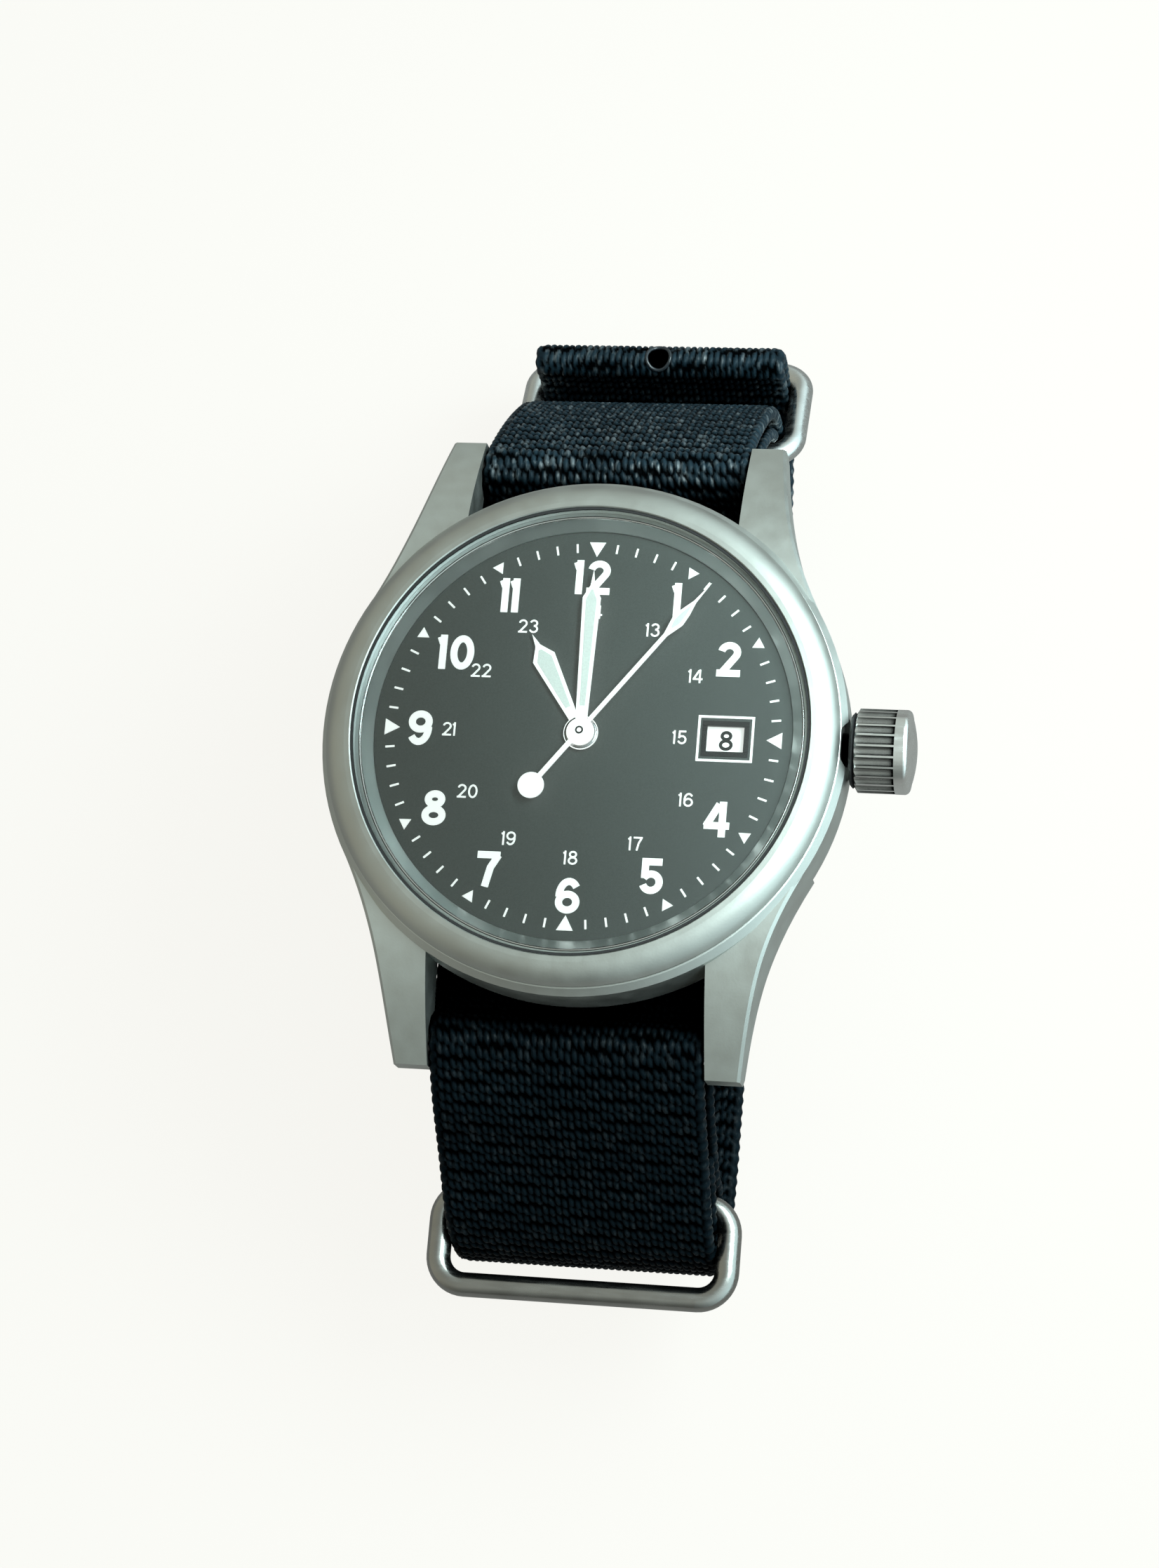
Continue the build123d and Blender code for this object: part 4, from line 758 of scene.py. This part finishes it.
# ---------------------------------------------------------------- woven straps

ROW = 0.9
COLUMN = 0.49
STAGGER = 0.2
ALONG = 6
ACROSS = 4
YARN_H = 0.2
YARN_HALF_W = 0.235
YARN_HALF_L = 0.44
YARN_SLANT = 0.26
SLANT_SPREAD = 0.1
YARN_WANDER = 0.12
MEAN_RELIEF = 0.8
EDGE_RELIEF = 0.75
EDGE_WAVE = 0.25
EDGE_STEPS = 7
CURVE_STEPS = 24
STRAP_T = 1.2
FLAP_T = 1.1
BAR_GAP = 0.05
CASE_GAP = 0.1
LAYER_GAP = 0.15
WRAP_R = BAR_R + BAR_GAP + STRAP_T / 2
UNDER_Z = -CASE_GAP - STRAP_T / 2
SLOPE_ANGLE = 43
SLOPE_WAY = (0.73, 0.683)
CREST_ANGLE = 130
CREST_WAY = (0.643, 0.766)
DROP_ANGLE = 126.9
DROP_WAY = (0.6, 0.8)
FLAP_BAR_R = 0.9
SIDE_R = 6.0
TAIL_R = 9.95
FOLD_R = 0.68
BUCKLE_WRAP_R = 1.45
HOLE_R = 0.95
RIM_R = 0.14
RIM_SINK = 0.08
RIM_STEPS = 48
RIM_SIDES = 10
CASE_COVER_Y = 21.5
COVER_FADE = 2.0
COVER_DEPTH = 4.0


def arc(centre, radius, start, end):
    """Points on an arc in the side view, angles in degrees from +Y towards +Z."""
    count = max(6, int(abs(end - start) / 6))
    angles = np.radians(np.linspace(start, end, count + 1))
    return [(centre[0] + radius * math.cos(a), centre[1] + radius * math.sin(a)) for a in angles]


def curve(points, start, end):
    """Smooth curve through points in the side view, with a direction at each end."""
    knots = np.array(points, float)
    steps = np.linalg.norm(np.diff(knots, axis=0), axis=1)
    count = len(knots)
    system = np.zeros((count, count))
    target = np.zeros((count, 2))
    system[0, 0] = system[-1, -1] = 1
    target[0] = start
    target[-1] = end
    for i in range(1, count - 1):
        before, after = steps[i - 1], steps[i]
        system[i, i - 1:i + 2] = (after, 2 * (before + after), before)
        target[i] = 3 * (after * (knots[i] - knots[i - 1]) / before
                         + before * (knots[i + 1] - knots[i]) / after)
    slopes = np.linalg.solve(system, target)
    result = []
    for i in range(count - 1):
        for t in np.linspace(0, 1, CURVE_STEPS, endpoint=False):
            h00 = 2 * t ** 3 - 3 * t ** 2 + 1
            h10 = t ** 3 - 2 * t ** 2 + t
            h01 = 3 * t ** 2 - 2 * t ** 3
            h11 = t ** 3 - t ** 2
            result.append(tuple(h00 * knots[i] + h10 * steps[i] * slopes[i]
                                + h01 * knots[i + 1] + h11 * steps[i] * slopes[i + 1]))
    result.append(tuple(knots[-1]))
    return result


def main_route():
    """Middle line of the long strap in the side view, from the buckle to the folded tail."""
    floor_z = BEND.z - SIDE_R
    leg_z = floor_z - STRAP_T - LAYER_GAP
    buckle = (BUCKLE_BAR.y, BUCKLE_BAR.z)
    tail_z = BEND.z - TAIL_R
    return_r = TAIL_R + 2 * FOLD_R
    fold_y = BEND.y + TAIL_R + FOLD_R
    slope_end = (BAR_Y + WRAP_R * SLOPE_WAY[0], BAR_Z + WRAP_R * SLOPE_WAY[1])
    crest = (BAR_Y - WRAP_R * CREST_WAY[0], BAR_Z + WRAP_R * CREST_WAY[1])
    drop_start = (-BAR_Y - WRAP_R * DROP_WAY[0], BAR_Z + WRAP_R * DROP_WAY[1])
    points = curve([(13.5, leg_z), (10.8, leg_z - LAYER_GAP),
                    (buckle[0], buckle[1] - BUCKLE_WRAP_R)], (-1, 0), (-1, 0))
    points += arc(buckle, BUCKLE_WRAP_R, 270, 90)
    points += arc((BEND.y, BEND.z), SIDE_R, -90, 0)
    points += curve([(BEND.y + SIDE_R, BEND.z), (29.4, -6.9), slope_end], (0, 1),
                    (-SLOPE_WAY[1], SLOPE_WAY[0]))
    points += arc((BAR_Y, BAR_Z), WRAP_R, SLOPE_ANGLE, CREST_ANGLE)
    points += curve([crest, (19.6, 0.35), (17.3, UNDER_Z)], (-CREST_WAY[1], -CREST_WAY[0]),
                    (-1, 0))
    points += curve([(-17.3, UNDER_Z), (-19.6, 0.35), (-crest[0], crest[1])], (-1, 0),
                    (-CREST_WAY[1], CREST_WAY[0]))
    points += arc((-BAR_Y, BAR_Z), WRAP_R, 180 - CREST_ANGLE, DROP_ANGLE)
    points += curve([drop_start, (-24.8, 0.2), (-28.9, -4.3), (-34.1, -11.0), (-34.3, -16.4),
                     (-25.0, -20.0)], (-DROP_WAY[1], -DROP_WAY[0]), (1, 0))
    points += curve([(-4.0, -20.0), (1.6, -21.5), (7.4, -23.75), (16.0, tail_z)], (1, 0), (1, 0))
    points += arc((BEND.y, BEND.z), TAIL_R, -90, 0)
    points += arc((fold_y, BEND.z), FOLD_R, 180, 0)
    points += arc((BEND.y, BEND.z), return_r, 0, -90)
    points += [(15.5, BEND.z - return_r)]
    return points


def flap_route():
    """Middle line of the short strap in the side view, from the twelve side to its ring."""
    under = UNDER_Z - STRAP_T / 2 - CASE_GAP - FLAP_T / 2
    wrap_r = FLAP_BAR_R + LAYER_GAP + FLAP_T / 2
    bar = (FLAP_BAR.y, FLAP_BAR.z)
    points = curve([(29.9, -12.0), (28.0, -7.8), (24.5, -3.75), (18.0, under)], (-0.2, 0.98),
                   (-1, 0))
    points += curve([(-18.0, under), (-23.6, -3.9), (-27.2, -8.2), (bar[0] + wrap_r, bar[1])],
                    (-1, 0), (0, -1))
    points += arc(bar, wrap_r, 0, -180)
    points += curve([(bar[0] - wrap_r, bar[1]), (-29.9, -8.7), (-28.0, -6.3)], (0, 1),
                    (0.66, 0.75))
    return points


def even_route(points, step):
    """Same line with points an even step apart, and the unit normal on its right."""
    line = [points[0]]
    for point in points[1:]:
        if math.dist(point, line[-1]) > 1e-4:
            line.append(point)
    line = np.array(line)
    lengths = np.concatenate(([0], np.cumsum(np.linalg.norm(np.diff(line, axis=0), axis=1))))
    count = int(round(lengths[-1] / step))
    along = np.linspace(0, lengths[-1], count + 1)
    path = np.stack([np.interp(along, lengths, line[:, axis]) for axis in (0, 1)], axis=1)
    heading = np.gradient(path, axis=0)
    heading /= np.linalg.norm(heading, axis=1, keepdims=True)
    for _ in range(3):
        heading[1:-1] = (heading[:-2] + heading[1:-1] + heading[2:]) / 3
    heading /= np.linalg.norm(heading, axis=1, keepdims=True)
    return along, path, np.stack([heading[:, 1], -heading[:, 0]], axis=1)


def section(half, thick):
    """Section of the webbing: place across, place through, and outward direction."""
    edge_r = thick / 2
    columns = int((2 * half - 2 * edge_r) / COLUMN) * ACROSS
    flat = np.linspace(-half + edge_r, half - edge_r, columns + 1)
    turn = np.linspace(90, -90, EDGE_STEPS)[1:-1]
    places = [(x, edge_r, 0, 1) for x in flat]
    for angle in np.radians(turn):
        c, s = math.cos(angle), math.sin(angle)
        places.append((half - edge_r + edge_r * c, edge_r * s, c, s))
    places += [(x, -edge_r, 0, -1) for x in flat[::-1]]
    for angle in np.radians(turn[::-1]):
        c, s = math.cos(angle), math.sin(angle)
        places.append((-half + edge_r - edge_r * c, edge_r * s, -c, s))
    return np.array(places)


def yarn_height(across, along, side):
    """Height from 0 to 1 of slanted yarn ovals in half-staggered columns, on one side."""
    column = np.floor(across / COLUMN)
    local_u = (across / COLUMN - column - 0.5) * COLUMN
    parity = np.mod(column + (side < 0), 2)
    row = along / ROW + STAGGER * parity
    wander = YARN_WANDER * np.sin(column * 12.9898 + np.floor(row) * 78.233)
    local_v = (row - np.floor(row) - 0.5 + wander) * ROW
    slant = YARN_SLANT + SLANT_SPREAD * np.sin(np.floor(row) * 2.4 + column * 0.7)
    u = local_u - slant * local_v
    oval = 1 - (u / YARN_HALF_W) ** 2 - (local_v / YARN_HALF_L) ** 2
    return np.sqrt(np.clip(oval, 0, 1))


def strap(name, points, thick, holes, replaced, swell=0.0):
    """Woven webbing swept along a line, yarns on its faces, wider by swell under the case."""
    along, path, normals = even_route(points, ROW / ALONG)
    places = section(STRAP_HALF, thick)
    across = places[:, 0][None, :]
    length = along[:, None]
    is_face = np.abs(places[:, 3]) > 0.99
    faces_relief = yarn_height(across, length, places[:, 3][None, :])
    wave = np.cos(math.tau * length / ROW) * np.ones_like(across)
    edge_relief = EDGE_RELIEF + EDGE_WAVE * wave
    relief = np.where(is_face[None, :], faces_relief, edge_relief)
    lift = YARN_H * (relief - MEAN_RELIEF)
    covered = np.clip((CASE_COVER_Y - np.abs(path[:, 0])) / COVER_FADE, 0, 1)
    under = covered * (path[:, 1] > UNDER_Z - COVER_DEPTH)
    x = across * (1 + under[:, None] * swell / STRAP_HALF) + places[:, 2][None, :] * lift
    through = places[:, 1][None, :] + places[:, 3][None, :] * lift
    y = path[:, 0][:, None] + normals[:, 0][:, None] * through
    z = path[:, 1][:, None] + normals[:, 1][:, None] * through
    verts = np.stack([np.broadcast_to(x, y.shape), y, z], axis=2)
    rows, ring = y.shape
    index = np.arange(rows * ring).reshape(rows, ring)
    following = np.roll(index, -1, axis=1)
    quads = np.stack([index[:-1], following[:-1], following[1:], index[1:]], axis=2).reshape(-1, 4)
    flat_verts = verts.reshape(-1, 3)
    middles = flat_verts[quads].mean(axis=1)
    kept = np.ones(len(quads), bool)
    for hole_x, hole_y, low_z, high_z in holes:
        near = np.hypot(middles[:, 0] - hole_x, middles[:, 1] - hole_y) < HOLE_R
        kept &= ~(near & (middles[:, 2] > low_z) & (middles[:, 2] < high_z))
    caps = [list(map(int, index[0][::-1])), list(map(int, index[-1]))]
    mesh = bpy.data.meshes.new(name)
    mesh.from_pydata(flat_verts.tolist(), [], quads[kept].tolist() + caps)
    store = mesh.attributes.new("relief", "FLOAT", "POINT")
    store.data.foreach_set("value", relief.reshape(-1).astype(np.float32))
    weave = np.stack([np.broadcast_to(x, y.shape), np.broadcast_to(length, y.shape),
                      through * np.ones_like(y)], axis=2)
    store = mesh.attributes.new("weave", "FLOAT_VECTOR", "POINT")
    store.data.foreach_set("vector", weave.reshape(-1).astype(np.float32))
    mesh.polygons.foreach_set("use_smooth", [True] * len(mesh.polygons))
    bm = bmesh.new()
    bm.from_mesh(mesh)
    bmesh.ops.recalc_face_normals(bm, faces=bm.faces)
    bm.to_mesh(mesh)
    bm.free()
    add_piece(name, mesh, NYLON, "case", (replaced,))


def hole_rim():
    """Melted rim of the strap hole that sits on top of the folded tail."""
    bm = bmesh.new()
    top_r = FOLD_R + STRAP_T / 2
    fold_y = BEND.y + TAIL_R + FOLD_R
    rings = []
    for i in range(RIM_STEPS):
        t = math.tau * i / RIM_STEPS
        out = Vector((math.cos(t), math.sin(t), 0))
        offset = HOLE_R * math.sin(t)
        centre = Vector((HOLE_R * math.cos(t), fold_y + offset,
                         BEND.z + math.sqrt(top_r ** 2 - offset ** 2) - RIM_SINK))
        ring = []
        for k in range(RIM_SIDES):
            a = math.tau * k / RIM_SIDES
            place = centre + out * RIM_R * math.cos(a) + Vector((0, 0, RIM_R * math.sin(a)))
            ring.append(bm.verts.new(place))
        rings.append(ring)
    for i in range(RIM_STEPS):
        for k in range(RIM_SIDES):
            bm.faces.new((rings[i - 1][k - 1], rings[i][k - 1], rings[i][k], rings[i - 1][k]))
    mesh = finished_mesh("strap_hole_rim", bm)
    mesh.polygons.foreach_set("use_smooth", [True] * len(mesh.polygons))
    add_piece("strap_hole_rim", mesh, HOLE_EDGE, "case")


FOLD_TOP = (0.0, BEND.y + TAIL_R + FOLD_R, BEND.z, BEND.z + 2.0)
TAIL_HOLE = (0.0, 18.0, BEND.z - TAIL_R - 1.0, BEND.z - TAIL_R + 1.0)
strap("main_strap_webbing", main_route(), STRAP_T, (FOLD_TOP, TAIL_HOLE), "main_strap", 0.6)
strap("flap_strap_webbing", flap_route(), FLAP_T, (), "flap_strap", 0.8)
hole_rim()

# ---------------------------------------------------------------- floor, light and camera

FLOOR_HALF = 3.0
FLOOR_GAP = 0.0003
FLOOR_TO_CAMERA = 0.885
FLOOR_TO_WATCH = 0.2
CAMERA_PLACE = (44.05, -64.42, 237.85)
CAMERA_TURN = (15.328, 9.468, 4.882)
CAMERA_LENS = 78.7
CAMERA_NEAR = 0.01


def floor():
    """Plain pale floor below the watch, even to the camera and darker in reflections."""
    bm = bmesh.new()
    bm.faces.new([bm.verts.new((x * FLOOR_HALF, y * FLOOR_HALF, 0)) for x, y in CORNER_SIGNS])
    mesh = bpy.data.meshes.new("floor")
    bm.to_mesh(mesh)
    bm.free()
    material, tree, surface = start_material("pale_floor", (0.08, 0.08, 0.078), 0.0, 1.0)
    surface.inputs["Specular IOR Level"].default_value = 0.0
    surface.inputs["Emission Color"].default_value = (1.0, 0.99, 0.948, 1)
    rays = tree.nodes.new("ShaderNodeLightPath")
    seen = value_range(tree, rays.outputs["Is Camera Ray"], FLOOR_TO_WATCH, FLOOR_TO_CAMERA, 0, 1)
    tree.links.new(seen, surface.inputs["Emission Strength"])
    mesh.materials.append(material)
    plane = bpy.data.objects.new("floor", mesh)
    plane.location = (0, 0, CAD_BOX[0][2] - FLOOR_GAP)
    bpy.context.scene.collection.objects.link(plane)


def soft_box(name, place, size, energy, colour):
    """Square area light aimed at the watch."""
    light = bpy.data.lights.new(name, "AREA")
    light.energy = energy
    light.size = size
    light.color = colour
    holder = bpy.data.objects.new(name, light)
    holder.location = place
    holder.rotation_euler = (-Vector(place)).to_track_quat("-Z", "Y").to_euler()
    bpy.context.scene.collection.objects.link(holder)


def room():
    """Soft room: warm and dim on the left, cool and bright on the right, dim below the six side."""
    world = bpy.data.worlds.new("room")
    bpy.context.scene.world = world
    world.use_nodes = True
    tree = world.node_tree
    source = tree.nodes.new("ShaderNodeTexCoord")
    split = tree.nodes.new("ShaderNodeSeparateXYZ")
    tree.links.new(source.outputs["Generated"], split.inputs["Vector"])
    shade = colour_ramp(tree, value_range(tree, split.outputs["X"], 0, 1, -1, 1),
                        (0.1, (0.44, 0.44, 0.37)), (0.42, (0.40, 0.42, 0.38)),
                        (0.72, (1.0, 1.2, 1.2)), (0.95, (1.3, 1.7, 1.75)))
    tree.links.new(shade, tree.nodes["Background"].inputs["Color"])
    tree.links.new(value_range(tree, split.outputs["Y"], 0.3, 1.0, -1.0, -0.5),
                   tree.nodes["Background"].inputs["Strength"])


def camera():
    """Camera above the six side, a little to the right, turned about X, Y and Z in degrees."""
    data = bpy.data.cameras.new("camera")
    data.lens = CAMERA_LENS
    data.clip_start = CAMERA_NEAR
    holder = bpy.data.objects.new("camera", data)
    holder.location = Vector(CAMERA_PLACE) * MM
    holder.rotation_euler = [math.radians(angle) for angle in CAMERA_TURN]
    bpy.context.scene.collection.objects.link(holder)
    bpy.context.scene.camera = holder


floor()
room()
soft_box("key", (0.10, 0.015, 0.12), 0.08, 0.21, (0.82, 1.0, 1.0))
soft_box("window", (0.065, 0.05, 0.08), 0.05, 0.06, (0.80, 1.0, 1.0))
camera()
bpy.context.scene.view_settings.view_transform = "Standard"
